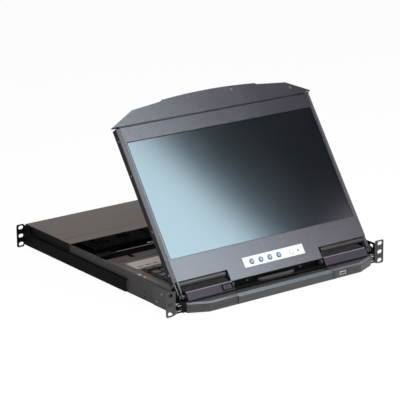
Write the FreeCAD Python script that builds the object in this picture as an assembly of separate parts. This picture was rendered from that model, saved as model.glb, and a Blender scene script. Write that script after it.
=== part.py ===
import FreeCAD, Part
import math
import os

os.makedirs("parts", exist_ok=True)

V = FreeCAD.Vector

# Lengths in millimetres. +X is the viewer's right, +Y the rear, +Z up.
# The y = 0 plane is the face of the front ears. Heights are measured here
# from the bottom of the ears; save() moves them to the row's origin.
# Sizes follow from the inside out: the keyboard sets the drawer, the drawer
# and its slides set the chassis, and the chassis sets the screen and the ears.

sheet = 1.2

# keys and touch pad
key_pitch = 19.0
key_units = 18
key_gap = 0.6
key_taper = 1.8
key_height = 4.3
function_row_depth = 15.0
function_row_gap = 5.0
key_left_margin = 50.3
key_right_margin = 22.3
pad_half = 46.2
pad_gap = 0.3
pad_button_front = 3.8
pad_button_depth = 13.4
pad_seam = 2.6
pad_depth = 46.4
pad_to_keys = 9.3

pad_button_rear = pad_button_front + pad_button_depth
pad_front = pad_button_rear + pad_seam
pad_rear = pad_front + pad_depth
key_front_y = pad_rear + pad_to_keys + key_pitch / 2
key_row_y = [key_front_y + 5 * key_pitch + function_row_gap]
key_row_y += [key_front_y + k * key_pitch for k in (4, 3, 2, 1, 0)]

# keyboard drawer
deck_top = 16.0
deck_thickness = 1.4
drawer_front = -2.0
light_strip_gap = 17.0
light_strip_depth = 36.0
drawer_tail = 45.0
column_inset = 20.0
column_length = 98.6
status_r = 3.2

deck_low = deck_top - deck_thickness
key_top = deck_top + key_height
drawer_half = (key_units * key_pitch + key_left_margin + key_right_margin) / 2
key_area_left = -drawer_half + key_left_margin
key_area_right = key_area_left + key_units * key_pitch
light_strip_front = key_row_y[0] + light_strip_gap
light_strip_rear = light_strip_front + light_strip_depth
drawer_rear = light_strip_rear + drawer_tail
lock_lamp_x = [key_area_left + 9.0 + 16.5 * k for k in range(3)]
lock_lamp_y = light_strip_front + 8.5
column_front = key_front_y + 31.2
status_x = key_area_left - column_inset
status_y = column_front + 55.8

# drawer handle
handle_top = 20.0
handle_low = 2.5
handle_front = -22.8
handle_seam = 107.0
handle_end = drawer_half - 1.3
left_handle_end = handle_end - 3.4
handle_corner = handle_end - 38.0
usb_x = handle_seam + 19.0
usb_z = 10.5
front_lamp_x = handle_corner - 10.5
front_lamp_z = 9.0

# fixed chassis
floor_bottom = 2.4
wall_front = 2.0
slide_space = 13.4
chassis_depth = 478.0
wall_step_y = 222.0
wall_step = 2.0
cover_front = 326.0
cover_screw_inset = 4.5
cover_screw_r = 2.0

floor_top = floor_bottom + sheet
wall_in = drawer_half + slide_space
wall_out = wall_in + sheet
drawer_bottom = floor_top + 0.8

# telescopic slides of the drawer
slide_front = 4.0
slide_height = 15.2
slide_sheet = 1.0
slide_gap = 0.3
slide_length = drawer_rear - 3.0
slide_bottom = floor_top + 0.6

# carriage that carries the screen, and its rails
plate_clearance = 0.9
carriage_front = -1.0
carriage_depth = 41.0
rail_depth = 5.1
rail_height = 16.4
rail_lift = 1.6
runner_start = 22.0
runner_end = 122.0
front_lip_y = 15.0
catch_height = 3.6

plate_bottom = key_top + plate_clearance
plate_top = plate_bottom + sheet
carriage_rear = carriage_front + carriage_depth
rail_x = wall_in - rail_depth
rail_low = plate_bottom + rail_lift
rail_high = rail_low + rail_height
rail_end = chassis_depth - 48.0
side_plate_x = rail_x - 0.5 - sheet
wall_top = rail_high + 0.8
rear_wall_top = wall_top + wall_step
cover_top = rear_wall_top + sheet
cover_screw_x = wall_out - cover_screw_inset
cover_screw_y = [cover_front + 29.0, chassis_depth - 17.0]

# rear support brackets
bracket_out = 6.0
bracket_low = 4.7
bracket_high = 26.8
bracket_length = 338.6
bracket_rear = chassis_depth + 2.6
bracket_front = bracket_rear - bracket_length

# 19-inch rack ears, one unit high: 482.6 over the ears, 465.1 between slots
ear_height = 43.7
ear_thickness = 1.6
ear_leg = 62.0
ear_slot_rise = 15.875
ear_slot_length = 10.5
ear_slot_height = 7.0
ear_slot_inset = 8.75
slot_margin = 0.6
ear_slot_x = wall_out + bracket_out - sheet + slot_margin + ear_slot_length / 2
ear_half = ear_slot_x + ear_slot_inset
hole_z = ear_height / 2

# sockets of the back wall, and the boards behind them
socket_z = 19.8
inlet_x = wall_in - 48.7
rocker_x = inlet_x - 32.0
port_z = 16.0
video_port_x = [70.0, 20.0]
usb_port_x = [-30.0, -52.0]
jack_x = [-80.0, -96.0]
network_x = -128.0
board_z = 8.4
board_front = chassis_depth - 122.0
board_rear = chassis_depth - 17.0
supply_front = chassis_depth - 126.0
supply_rear = chassis_depth - 32.0
supply_left = wall_in - 98.7
supply_right = wall_in - 20.7
board_left = -wall_in + 70.7
board_right = supply_left - 10.0
lead_box_left = -wall_in + 33.7
lead_box_right = lead_box_left + 36.0
lead_rod_right = wall_in - 52.7
guide_z = 17.2
guide_r = 2.6
guide_post_r = 4.6

# screen module, in its own frame: the hinge axis is the origin, v runs up the
# screen and w points out of its face
hinge_y = 5.8
hinge_z = plate_top + 5.6
screen_tilt = 54.9
face_w = 5.0
bezel_depth = 3.5
shell_depth = 11.0
shell_skin = 1.8
bulge_depth = 1.6
centre_half = 101.0
centre_foot_v = 5.1
centre_back_w = -3.0
screen_foot_v = 26.1
chin_height = 40.1
window_height = 217.9
brow_height = 27.9
bezel_side = 9.6
pin_r = 3.0
pin_gap = 0.3
eye_r = 5.0

screen_half = side_plate_x - 0.7
window_half = screen_half - bezel_side
window_low_v = screen_foot_v + chin_height
window_high_v = window_low_v + window_height
screen_top_v = window_high_v + brow_height
bezel_back_w = face_w - bezel_depth
shell_back_w = bezel_back_w - shell_depth

# arched plate above the screen: places on its rim, as the distance from the
# middle and the height above the screen
plate_half = screen_half + 4.2
plate_seam = 2.6
plate_back_w = -5.0
plate_skin = 2.4
arch = [(169.5, 27.7), (107.0, 34.1), (102.0, 36.9), (77.0, 38.6), (51.0, 40.0), (25.0, 40.8), (0.0, 41.1)]

# control strip under the screen
strip_left = -63.5
strip_right = 69.5
strip_low_v = 21.6
strip_high_v = 39.6
button_v = 29.9
menu_button_x = [-46.0, -26.1, -6.2, 13.7]
power_button_x = 41.9
power_lamp_x = 56.9
lamp_guide_r = 1.2
button_r = 4.4
button_gap = 0.3
button_travel = 0.9

# hinge: blocks on the carriage, cheeks, lugs and bars on the screen
cheek_inner_x = screen_half - 8.6
block_inner_x = centre_half + 0.6
block_outer_x = cheek_inner_x - 5.6
block_face_w = 8.0
block_bevel = 1.1
block_low_v = -11.4
block_rear = 26.0
block_top = wall_top - 2.6
bar_gap = 5.0
bar_v = 21.3
bar_w = 0.3
bar_r = 4.4
lug_inner_x = centre_half - 4.0
lug_thickness = 2.2
catch_x0 = block_inner_x + 2.0
catch_x1 = catch_x0 + 23.4


# helpers

def box(x0, x1, y0, y1, z0, z1):
    return Part.makeBox(x1 - x0, y1 - y0, z1 - z0, V(x0, y0, z0))


def wire(points):
    return Part.makePolygon([V(*p) for p in points + points[:1]])


def along_x(profile, x0, x1):
    """Extrude a (y, z) outline between two x places."""
    face = Part.Face(wire([(x0, y, z) for y, z in profile]))
    return face.extrude(V(x1 - x0, 0, 0))


def along_y(outline, y0, y1):
    """Extrude an (x, z) outline between two y places."""
    face = Part.Face(wire([(x, y0, z) for x, z in outline]))
    return face.extrude(V(0, y1 - y0, 0))


def along_z(outline, z0, z1):
    """Extrude an (x, y) outline between two heights."""
    face = Part.Face(wire([(x, y, z0) for x, y in outline]))
    return face.extrude(V(0, 0, z1 - z0))


def taper(low, z0, high, z1):
    """Solid between two (x, y) outlines with the same number of corners."""
    rings = [wire([(x, y, z0) for x, y in low]), wire([(x, y, z1) for x, y in high])]
    return Part.makeLoft(rings, True, True)


def frustum(x0, x1, y0, y1, z0, z1, inset):
    low = [(x0, y0), (x1, y0), (x1, y1), (x0, y1)]
    high = [(x0 + inset, y0 + inset), (x1 - inset, y0 + inset),
            (x1 - inset, y1 - inset), (x0 + inset, y1 - inset)]
    return taper(low, z0, high, z1)


def rod_x(x0, x1, y, z, r):
    return Part.makeCylinder(r, x1 - x0, V(x0, y, z), V(1, 0, 0))


def rod_y(x, y0, y1, z, r):
    return Part.makeCylinder(r, y1 - y0, V(x, y0, z), V(0, 1, 0))


def rod_z(x, y, z0, z1, r):
    return Part.makeCylinder(r, z1 - z0, V(x, y, z0), V(0, 0, 1))


def slot_x(x, y0, y1, z, length, height):
    """Horizontal slot with round ends, cut along Y."""
    r = height / 2
    half = length / 2 - r
    body = box(x - half, x + half, y0, y1, z - r, z + r)
    return body.fuse([rod_y(x - half, y0, y1, z, r), rod_y(x + half, y0, y1, z, r)])


def joined(shapes):
    return shapes[0].fuse(shapes[1:]).removeSplitter()


def group(shapes):
    return Part.makeCompound(shapes)


def mirrored(shape):
    return shape.mirror(V(0, 0, 0), V(1, 0, 0))


def on_screen(shape):
    """Place a shape built in the screen module's frame."""
    placed = shape.copy()
    placed.rotate(V(0, 0, 0), V(1, 0, 0), screen_tilt)
    placed.translate(V(0, hinge_y, hinge_z))
    return placed


def screen_point(v, w):
    """(y, z) of a place given in the screen module's frame."""
    a = math.radians(screen_tilt)
    y = hinge_y + v * math.cos(a) - w * math.sin(a)
    z = hinge_z + v * math.sin(a) + w * math.cos(a)
    return y, z


def save(name, shape):
    placed = shape.copy()
    placed.translate(V(0, 0, -hole_z))
    placed.exportStep("parts/" + name + ".step")


def save_pair(name, right):
    """Save a right-hand piece and its mirror image on the left."""
    save(name + "_right", right)
    save(name + "_left", mirrored(right))


# fixed chassis

ear_slots = [(ear_slot_x, hole_z + k * ear_slot_rise) for k in (-1, 0, 1)]
side_holes = [(90.7, 16.8), (90.7, 7.9)]
side_hole_r = 2.2
ear_screws = [(38.0, 28.0), (53.0, 11.0)]


def hinge_window(x0, x1):
    """Opening in the wall and the ear's leg, beside the screen's hinge pin."""
    return box(x0, x1, 6, 16, wall_top - 12.5, wall_top - 4.0)


def chassis_tray():
    floor = box(-wall_out, wall_out, wall_front, chassis_depth, floor_bottom, floor_top)
    profile = [(wall_front, floor_bottom), (chassis_depth, floor_bottom),
               (chassis_depth, rear_wall_top), (wall_step_y, rear_wall_top),
               (wall_step_y - wall_step, wall_top), (wall_front, wall_top)]
    wall = along_x(profile, wall_in, wall_out).cut(hinge_window(wall_in - 1, wall_out + 1))
    for y, z in side_holes:
        wall = wall.cut(rod_x(wall_in - 1, wall_out + 1, y, z, side_hole_r))
    tray = joined([floor, wall, mirrored(wall)])
    vents = []
    for row in range(3):
        y = chassis_depth - 46 + 14 * row
        for k in range(9):
            x = -176 + 22 * k
            vents.append(box(x, x + 14, y, y + 4, floor_bottom - 1, floor_top + 1))
    return tray.cut(vents)


def front_ear():
    """Right-hand rack ear: a flange with three slots and a leg on the wall."""
    leg_x = wall_out + ear_thickness
    face = [(wall_out, 2.0), (wall_out + 9, 0.0), (ear_half - 2, 0.0), (ear_half, 2.0),
            (ear_half, ear_height - 2), (ear_half - 2, ear_height), (wall_out, ear_height)]
    flange = along_y(face, 0, ear_thickness)
    leg = along_x([(0, floor_bottom), (ear_leg, floor_bottom), (ear_leg, 30), (ear_leg - 8, wall_top - 1.5),
                   (0, wall_top - 1.5)], wall_out, leg_x)
    ear = joined([flange, leg])
    cuts = [slot_x(x, -1, ear_thickness + 1, z, ear_slot_length, ear_slot_height)
            for x, z in ear_slots]
    cuts.append(hinge_window(wall_out - 1, leg_x + 1))
    return ear.cut(cuts)


def top_cover():
    skin = box(-wall_out, wall_out, cover_front, chassis_depth, rear_wall_top, cover_top)
    skirt = box(wall_out, wall_out + sheet, cover_front, chassis_depth, bracket_high + 1.2, cover_top)
    cover = joined([skin, skirt, mirrored(skirt)])
    return cover.cut([rod_z(side * cover_screw_x, y, rear_wall_top - 1, cover_top + 1, cover_screw_r)
                      for side in (-1, 1) for y in cover_screw_y])


def chassis_screws():
    """Screws of the ears' legs and of the top cover."""
    leg_x = wall_out + ear_thickness
    screws = []
    for y, z in ear_screws:
        head = rod_x(leg_x, leg_x + 0.8, y, z, 1.9)
        screws += [head, mirrored(head)]
    for y in cover_screw_y:
        body = rod_z(cover_screw_x, y, rear_wall_top - 2.4, cover_top + 0.3, cover_screw_r)
        screws += [body, mirrored(body)]
    return group(screws)


def cover_rails():
    """Folded lips that the cover's screws bite into, one on each wall."""
    lip = box(wall_in - 9, wall_in, cover_front + 2, chassis_depth - 2, rear_wall_top - sheet,
              rear_wall_top)
    lip = lip.cut([rod_z(cover_screw_x, y, rear_wall_top - 5, rear_wall_top + 1, cover_screw_r)
                   for y in cover_screw_y])
    return group([lip, mirrored(lip)])


def rear_panel():
    plate = box(-wall_in, wall_in, chassis_depth - sheet, chassis_depth, floor_top,
                rear_wall_top - sheet)
    y0 = chassis_depth - sheet - 1
    y1 = chassis_depth + 1
    cuts = [box(inlet_x - 13.7, inlet_x + 13.7, y0, y1, socket_z - 10, socket_z + 10),
            box(rocker_x - 6.7, rocker_x + 6.7, y0, y1, socket_z - 10, socket_z + 10)]
    for x in video_port_x:
        cuts.append(box(x - 15, x + 15, y0, y1, port_z - 5.5, port_z + 5.5))
    for x in usb_port_x:
        cuts.append(box(x - 6, x + 6, y0, y1, port_z - 5.6, port_z + 5.6))
    for x in jack_x:
        cuts.append(rod_y(x, y0, y1, port_z, 3.6))
    cuts.append(box(network_x - 8, network_x + 8, y0, y1, port_z - 6.6, port_z + 6.6))
    for k in range(12):
        x = -wall_in + 14.7 + 5 * k
        cuts.append(box(x, x + 2.4, y0, y1, 10, 32))
    return plate.cut(cuts)


def power_inlet():
    y0 = chassis_depth - 20
    y1 = chassis_depth + 2.5
    z = socket_z
    flange = box(inlet_x - 15.5, inlet_x + 15.5, chassis_depth, y1, z - 11.8, z + 11.8)
    body = box(inlet_x - 13.4, inlet_x + 13.4, y0, chassis_depth, z - 9.7, z + 9.7)
    cup = box(inlet_x - 11.8, inlet_x + 11.8, y0 + 3, y1 + 1, z - 8, z + 8)
    blades = [box(inlet_x + dx - 1, inlet_x + dx + 1, y0, y1 - 5.5, z + dz - 3.5, z + dz + 3.5)
              for dx, dz in ((-6, -1.3), (0, 1.7), (6, -1.3))]
    return joined([joined([flange, body]).cut(cup)] + blades)


rocker_pivot_y = chassis_depth - 4.0


def rocker_frame():
    y0 = chassis_depth - 14
    z = socket_z
    outer = joined([box(rocker_x - 8, rocker_x + 8, chassis_depth, chassis_depth + 1.5, z - 11.5, z + 11.5),
                    box(rocker_x - 6.4, rocker_x + 6.4, y0, chassis_depth, z - 9.7, z + 9.7)])
    inside = box(rocker_x - 5.2, rocker_x + 5.2, y0 + 1.5, chassis_depth + 3, z - 8.5, z + 8.5)
    pivot = rod_x(rocker_x - 7, rocker_x + 7, rocker_pivot_y, z, 1.5)
    return outer.cut([inside, pivot])


def power_rocker():
    y = rocker_pivot_y
    z = socket_z
    profile = [(y - 3, z - 5), (y + 3.2, z - 7.4), (y + 3.2, z), (y + 5.6, z + 6.4), (y - 3, z + 5)]
    body = along_x(profile, rocker_x - 4.9, rocker_x + 4.9)
    return joined([body, rod_x(rocker_x - 6.2, rocker_x + 6.2, y, z, 1.2)])


def plug_outline(x, half_top, half_low, half_height):
    """Tapered outline of a video plug, wide side up."""
    return [(x + half_top, port_z + half_height), (x + half_low, port_z - half_height),
            (x - half_low, port_z - half_height), (x - half_top, port_z + half_height)]


def video_ports():
    shells = []
    y0 = chassis_depth - 12
    y1 = chassis_depth + 5
    for x in video_port_x:
        flange = box(x - 15.8, x + 15.8, chassis_depth, chassis_depth + 0.8, port_z - 6.2, port_z + 6.2)
        core = along_y(plug_outline(x, 8.3, 7.0, 4.2), y0, y1)
        body = joined([box(x - 14.6, x + 14.6, y0, chassis_depth, port_z - 5.2, port_z + 5.2), flange, core])
        mouth = along_y(plug_outline(x, 7.5, 6.2, 3.4), y1 - 5, y1 + 2)
        nuts = [rod_y(x + dx, chassis_depth, chassis_depth + 4, port_z, 2.3) for dx in (-12.2, 12.2)]
        shells.append(joined([body.cut(mouth)] + nuts))
    return group(shells)


def usb_ports():
    shells = []
    for x in usb_port_x:
        body = box(x - 5.7, x + 5.7, chassis_depth - 14, chassis_depth + 1, port_z - 5.3, port_z + 5.3)
        mouth = box(x - 4.4, x + 4.4, chassis_depth - 9, chassis_depth + 2, port_z - 4.0, port_z + 4.0)
        tongue = box(x - 2.8, x + 2.8, chassis_depth - 9, chassis_depth, port_z - 1.6, port_z + 1.6)
        shells.append(joined([body.cut(mouth), tongue]))
    return group(shells)


def audio_jacks():
    jacks = []
    y1 = chassis_depth - sheet - 0.1
    for x in jack_x:
        body = joined([box(x - 5, x + 5, chassis_depth - 14, y1, port_z - 5, port_z + 5),
                       rod_y(x, chassis_depth - 3, chassis_depth + 2, port_z, 3.4)])
        jacks.append(body.cut(rod_y(x, chassis_depth - 12, chassis_depth + 3, port_z, 1.8)))
    return group(jacks)


def network_port():
    body = box(network_x - 7.7, network_x + 7.7, chassis_depth - 16, chassis_depth + 1,
               port_z - 6.3, port_z + 6.3)
    mouth = box(network_x - 5.9, network_x + 5.9, chassis_depth - 12, chassis_depth + 2,
                port_z - 4.4, port_z + 2.6)
    catch = box(network_x - 3.1, network_x + 3.1, chassis_depth - 12, chassis_depth + 2,
                port_z + 2.6, port_z + 4.4)
    return body.cut([mouth, catch])


def chip(x, y, width, depth, height):
    """Chip on the main board, placed from the board's front left corner."""
    low = board_z + 1.6
    return box(board_left + x, board_left + x + width, board_front + y, board_front + y + depth,
               low, low + height)


def main_board():
    board = box(board_left, board_right, board_front, board_rear, board_z, board_z + 1.6)
    chips = [chip(22, 28, 28, 28, 2.4), chip(80, 36, 24, 24, 3.0), chip(136, 26, 26, 26, 2.2),
             chip(190, 18, 52, 10, 7.4)]
    posts = [rod_z(x, y, floor_top, board_z, 3.2)
             for x in (board_left + 6, board_right - 6) for y in (board_front + 6, board_rear - 5)]
    return joined([board] + chips + posts)


def power_supply():
    skin = 1.2
    top = rear_wall_top - 6.0
    case = box(supply_left, supply_right, supply_front, supply_rear, floor_top, top)
    slots = []
    for k in range(9):
        y = supply_front + 8 + 9 * k
        slots.append(box(supply_left - 1, supply_right + 1, y, y + 4, 20, 30))
    inside = box(supply_left + skin, supply_right - skin, supply_front + skin, supply_rear - skin,
                 0, top - skin)
    return case.cut([inside] + slots)


def cable_box():
    """Guide box for the folded flat lead behind the drawer."""
    front = drawer_rear + 7
    case = box(lead_box_left, lead_box_right, front, front + 32, floor_top, 20.0)
    return case.cut(box(lead_box_left + 1.4, lead_box_right - 1.4, front - 2, front + 30.6, 6.0, 18.6))


def guide_arm():
    """Folded arm that keeps the flat lead straight: two links on a post and a foot."""
    y = drawer_rear + 16
    post_x = lead_box_right + guide_post_r + 1
    post = rod_z(post_x, y, floor_top, guide_z + guide_r, guide_post_r)
    bolt = rod_z(post_x, y, guide_z + guide_r, guide_z + guide_r + 0.7, 2.2)
    long_link = rod_x(lead_box_right, lead_rod_right, y, guide_z, guide_r)
    short_link = rod_x(-60.0, lead_rod_right, y + 9, guide_z + 0.8, guide_r / 2)
    collar = rod_x(-66.0, -60.0, y + 9, guide_z + 0.8, guide_r / 2 + 0.7)
    foot = box(lead_rod_right - 3, lead_rod_right + 5, y - 5, y + 12, floor_top, 20.0)
    return joined([post, bolt, long_link, short_link, collar, foot])


def bracket_guide():
    """Bar on the wall that the rear support bracket slides along."""
    y0 = bracket_front + 8
    y1 = chassis_depth - 8
    guide = box(wall_out, wall_out + bracket_out - 1.7, y0, y1, bracket_low + 1.6, bracket_high - 1.6)
    return guide.cut(box(wall_out + 1.4, wall_out + bracket_out, y0 - 2, y1 + 2,
                         bracket_low + 5.5, bracket_high - 5.5))


def rear_bracket():
    out = wall_out + bracket_out
    web = along_x([(bracket_front, bracket_low), (bracket_rear, bracket_low), (bracket_rear, ear_height - 1),
                   (bracket_rear - 16, ear_height - 1), (bracket_rear - 30, bracket_high),
                   (bracket_front, bracket_high)], out - sheet, out)
    lips = [box(wall_out + 0.3, out - sheet, bracket_front, bracket_rear - 12, z, z + sheet)
            for z in (bracket_low, bracket_high - sheet)]
    x0 = out - sheet
    outline = [(x0, 0), (ear_half - 2, 0), (ear_half, 2), (ear_half, ear_height - 2),
               (ear_half - 2, ear_height), (x0, ear_height)]
    flange = along_y(outline, bracket_rear - ear_thickness, bracket_rear)
    cuts = [slot_x(x, bracket_rear - 3, bracket_rear + 1, z, ear_slot_length, ear_slot_height)
            for x, z in ear_slots]
    return joined([web] + lips + [flange]).cut(cuts)


# rails of the screen carriage

def carriage_rail():
    y0 = runner_start - 4
    channel = box(rail_x, wall_in, y0, rail_end, rail_low, rail_high)
    return channel.cut(box(rail_x - 1, wall_in - 1, y0 - 1, rail_end + 1, rail_low + sheet,
                           rail_high - sheet))


def carriage_runner():
    runner = box(side_plate_x + sheet, wall_in - 1 - slide_gap, runner_start, runner_end,
                 rail_low + sheet + slide_gap, rail_high - sheet - slide_gap)
    pocket = box(rail_x + 2, wall_in, runner_start + 12, runner_end - 12, rail_low + 5, rail_high - 5)
    return runner.cut(pocket)


# screen carriage

def carriage():
    end = side_plate_x + sheet
    plate = along_z([(-end, carriage_front), (-block_inner_x, carriage_front),
                     (-block_inner_x + 2, carriage_front - 1), (block_inner_x - 2, carriage_front - 1),
                     (block_inner_x, carriage_front), (end, carriage_front),
                     (end, carriage_rear), (-end, carriage_rear)], plate_bottom, plate_top)
    rear_lip = box(-side_plate_x, side_plate_x, carriage_rear - sheet, carriage_rear, plate_top,
                   plate_top + 10.6)
    lip_x = lug_inner_x - 1
    front_lip = box(-lip_x, lip_x, front_lip_y, front_lip_y + sheet, plate_top, plate_top + 6)
    cheek = along_x([(carriage_front, plate_bottom), (runner_end, plate_bottom + 3),
                     (runner_end, wall_top - 4), (24, wall_top - 3), (12, wall_top - 4),
                     (0, wall_top - 6.4), (carriage_front, wall_top - 9)], side_plate_x, end)
    slots = [box(x - 14, x + 14, 20, 30, plate_bottom - 1, plate_top + 1) for x in (-150, -60, 60, 150)]
    runner = carriage_runner()
    return joined([plate, rear_lip, front_lip, cheek, mirrored(cheek), runner, mirrored(runner)]).cut(slots)


def hinge_block():
    """Right-hand housing of the tilt hinge, its face in line with the screen."""
    bevel = block_bevel
    high_v = centre_foot_v - 0.2
    top = screen_point(high_v, block_face_w - bevel)
    low = screen_point(block_low_v, block_face_w - bevel)
    profile = [top, low, (low[0] + 0.6, plate_top), (block_rear, plate_top), (block_rear, block_top),
               (top[0] + 1.6, block_top - 1.0)]
    body = along_x(profile, block_inner_x, block_outer_x)
    face = frustum(block_inner_x, block_outer_x, block_low_v, high_v, block_face_w - bevel,
                   block_face_w, bevel)
    return joined([body, on_screen(face)])


def catch_pocket():
    return on_screen(box(-catch_x1, -catch_x0, -9.0, 2.4, block_face_w - 2.6, block_face_w + 2))


def tilt_catch():
    plate = box(-catch_x1 + 3.6, -catch_x0 - 3.6, -7.4, 0.8, block_face_w - 2.4, block_face_w + 0.4)
    ribs = []
    for k in range(3):
        x = -catch_x0 - 15.4 + 3 * k
        ribs.append(box(x, x + 1.0, -6.0, -0.6, block_face_w + 0.4, block_face_w + 1.1))
    return on_screen(joined([plate] + ribs))


def hinge_bar():
    """Round bar under one wing of the screen, between its cheeks and its foot."""
    bar = rod_x(centre_half + bar_gap, cheek_inner_x, bar_v, bar_w, bar_r)
    web = box(centre_half + bar_gap + 4, cheek_inner_x, bar_v, screen_foot_v, bar_w - 1.5, bar_w + 1.5)
    return on_screen(joined([bar, web]))


def hinge_pins():
    outer = rod_x(block_outer_x, side_plate_x, hinge_y, hinge_z, pin_r)
    inner = rod_x(lug_inner_x - 0.5, block_inner_x, hinge_y, hinge_z, pin_r)
    return group([outer, inner, mirrored(outer), mirrored(inner)])


def slide_catch():
    """Finger catch in the middle of the carriage's front edge."""
    outline = [(-40, 10.6), (-38.5, 6.5), (-33, 2.6), (-27, 1.3), (-1.4, 1.3), (-1.4, 2.6), (1.4, 2.6),
               (1.4, 1.3), (27, 1.3), (33, 2.6), (38.5, 6.5), (40, 10.6)]
    return along_z(outline, plate_top, plate_top + catch_height)


def carriage_screws():
    """Screws of the front lip and of the hinge blocks."""
    screws = [rod_y(x, front_lip_y - 1, front_lip_y, plate_top + 3.2, 2.2) for x in (-59, 59)]
    near = block_inner_x + 32.4
    screws += [rod_z(x, block_rear - 4, block_top, block_top + 0.6, 1.8) for x in (-near - 26, -near, near)]
    return group(screws)


# screen module

def screen_outline():
    return [(-screen_half, screen_foot_v), (-centre_half, screen_foot_v), (-centre_half, centre_foot_v),
            (centre_half, centre_foot_v), (centre_half, screen_foot_v), (screen_half, screen_foot_v),
            (screen_half, screen_top_v), (-screen_half, screen_top_v)]


def strip_holes(low_w):
    """Holes for the five buttons and the power lamp."""
    holes = [rod_z(x, button_v, low_w, face_w + 1, button_r + button_gap)
             for x in menu_button_x + [power_button_x]]
    return holes + [rod_z(power_lamp_x, button_v, low_w, face_w + 1, lamp_guide_r + 0.1)]


def screen_bezel():
    plate = along_z(screen_outline(), bezel_back_w, face_w)
    window = box(-window_half, window_half, window_low_v, window_high_v, 0, face_w + 1)
    bevel_face = Part.Face(wire([(screen_half - 5.5, 0, face_w + 0.01), (screen_half + 0.1, 0, face_w + 0.01),
                                 (screen_half + 0.1, 0, face_w - 2.0)]))
    bevel = bevel_face.extrude(V(0, screen_top_v + 2, 0))
    groove = box(window_half + 3.0, window_half + 3.7, 0, screen_top_v + 2, face_w - 0.5, face_w + 1)
    return on_screen(plate.cut([window, bevel, mirrored(bevel), groove, mirrored(groove)] + strip_holes(0)))


def shell_bulge():
    """Raised middle of the back cover."""
    x = screen_half - 23.2
    low = screen_foot_v + 17.9
    high = screen_top_v - 22.0
    return taper([(-x, low), (x, low), (x, high), (-x, high)], shell_back_w,
                 [(-x + 8, low + 8), (x - 8, low + 8), (x - 8, high - 8), (-x + 8, high - 8)],
                 shell_back_w - bulge_depth)


def screen_shell():
    """Back cover: a tray that the bezel closes."""
    back = shell_back_w
    front = bezel_back_w
    skin = shell_skin
    foot_back = centre_back_w + 1.4
    main = box(-screen_half, screen_half, screen_foot_v, screen_top_v, back, front)
    foot = box(-centre_half, centre_half, centre_foot_v, screen_foot_v + 4, centre_back_w, front)
    hollow = [box(-screen_half + skin, screen_half - skin, screen_foot_v + skin, screen_top_v - skin,
                  back + skin, front + 1),
              box(-centre_half + skin, centre_half - skin, centre_foot_v + skin, screen_foot_v + 6,
                  foot_back, front + 1)]
    vents = []
    for k in range(15):
        x = -120 + 16 * k
        vents.append(box(x, x + 10, screen_top_v - 50, screen_top_v - 47, back - 4, back + 4))
    shell = joined([main.fuse([foot, shell_bulge()]).cut(hollow)])
    slot = box(lug_inner_x - 0.2, lug_inner_x + lug_thickness, 0, centre_foot_v + skin + 0.5,
               foot_back, front + 1)
    return on_screen(shell.cut(vents + [slot, mirrored(slot)]))


def screen_glass():
    return on_screen(box(-window_half + 0.2, window_half - 0.2, window_low_v + 0.2, window_high_v - 0.2,
                         bezel_back_w, face_w - 0.5))


def screen_panel():
    back = shell_back_w + shell_skin
    half = window_half + 5.4
    low = window_low_v - 8.2
    high = window_high_v + 6.9
    panel = box(-half, half, low, high, back + 2.4, bezel_back_w)
    feet = [box(x - 12, x + 12, v - 4, v + 4, back, back + 2.4)
            for x in (-half + 39, half - 39) for v in (low + 12, high - 11)]
    return on_screen(joined([panel] + feet))


def control_board():
    """Board behind the strip, with the power lamp's light guide."""
    low = centre_back_w + 1.4
    board = box(strip_left - 6.5, strip_right + 6.5, strip_low_v - 1.6, strip_high_v + 0.4, low, low + 1.4)
    guide = rod_z(power_lamp_x, button_v, low + 1.4, face_w + 0.3, lamp_guide_r)
    return on_screen(joined([board, guide]))


def control_strip():
    plate = box(strip_left, strip_right, strip_low_v, strip_high_v, face_w, face_w + 0.3)
    return on_screen(plate.cut(strip_holes(face_w - 1)))


def strip_button(x):
    low = centre_back_w + 2.8 + button_travel + 0.1
    stem = rod_z(x, button_v, low, face_w + 0.9, button_r)
    cap = Part.makeCone(button_r, button_r - 0.7, 0.5, V(x, button_v, face_w + 0.9))
    return on_screen(joined([stem, cap]))


def plate_rim(inset):
    """Outline of the arched top plate, drawn in by a distance."""
    k = inset
    x = plate_half - k
    foot = screen_top_v + plate_seam + k
    half = [(x, foot), (x, foot + 1.8 - 0.3 * k)]
    for (place, rise), slope in zip(arch, (0.4, 0.3, 0, 0, 0, 0, 0)):
        half.append((place - slope * k, screen_top_v + rise - k))
    return half + [(-a, v) for a, v in half[-2::-1]]


def top_plate():
    """Arched handle plate above the screen, hollow at the back."""
    inner_w = face_w - 2.6
    body = along_z(plate_rim(0), plate_back_w, face_w)
    body = body.cut(along_z(plate_rim(plate_skin), plate_back_w - 1, inner_w))
    tongue = box(-plate_half + 11.4, plate_half - 11.4, screen_top_v, screen_top_v + 5.0, plate_back_w,
                 face_w - 2.0)
    ribs = [box(x - 1, x + 1, screen_top_v + 4, screen_top_v + 24, plate_back_w, inner_w)
            for x in (-120, -60, 0, 60, 120)]
    return on_screen(joined([body, tongue] + ribs))


def plate_screws():
    heads = []
    for x, rise in ((plate_half - 41.4, 16.1), (48.4, 32.4)):
        head = on_screen(Part.makeCone(2.6, 1.6, 0.7, V(x, screen_top_v + rise, face_w)))
        heads += [head, mirrored(head)]
    return group(heads)


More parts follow.
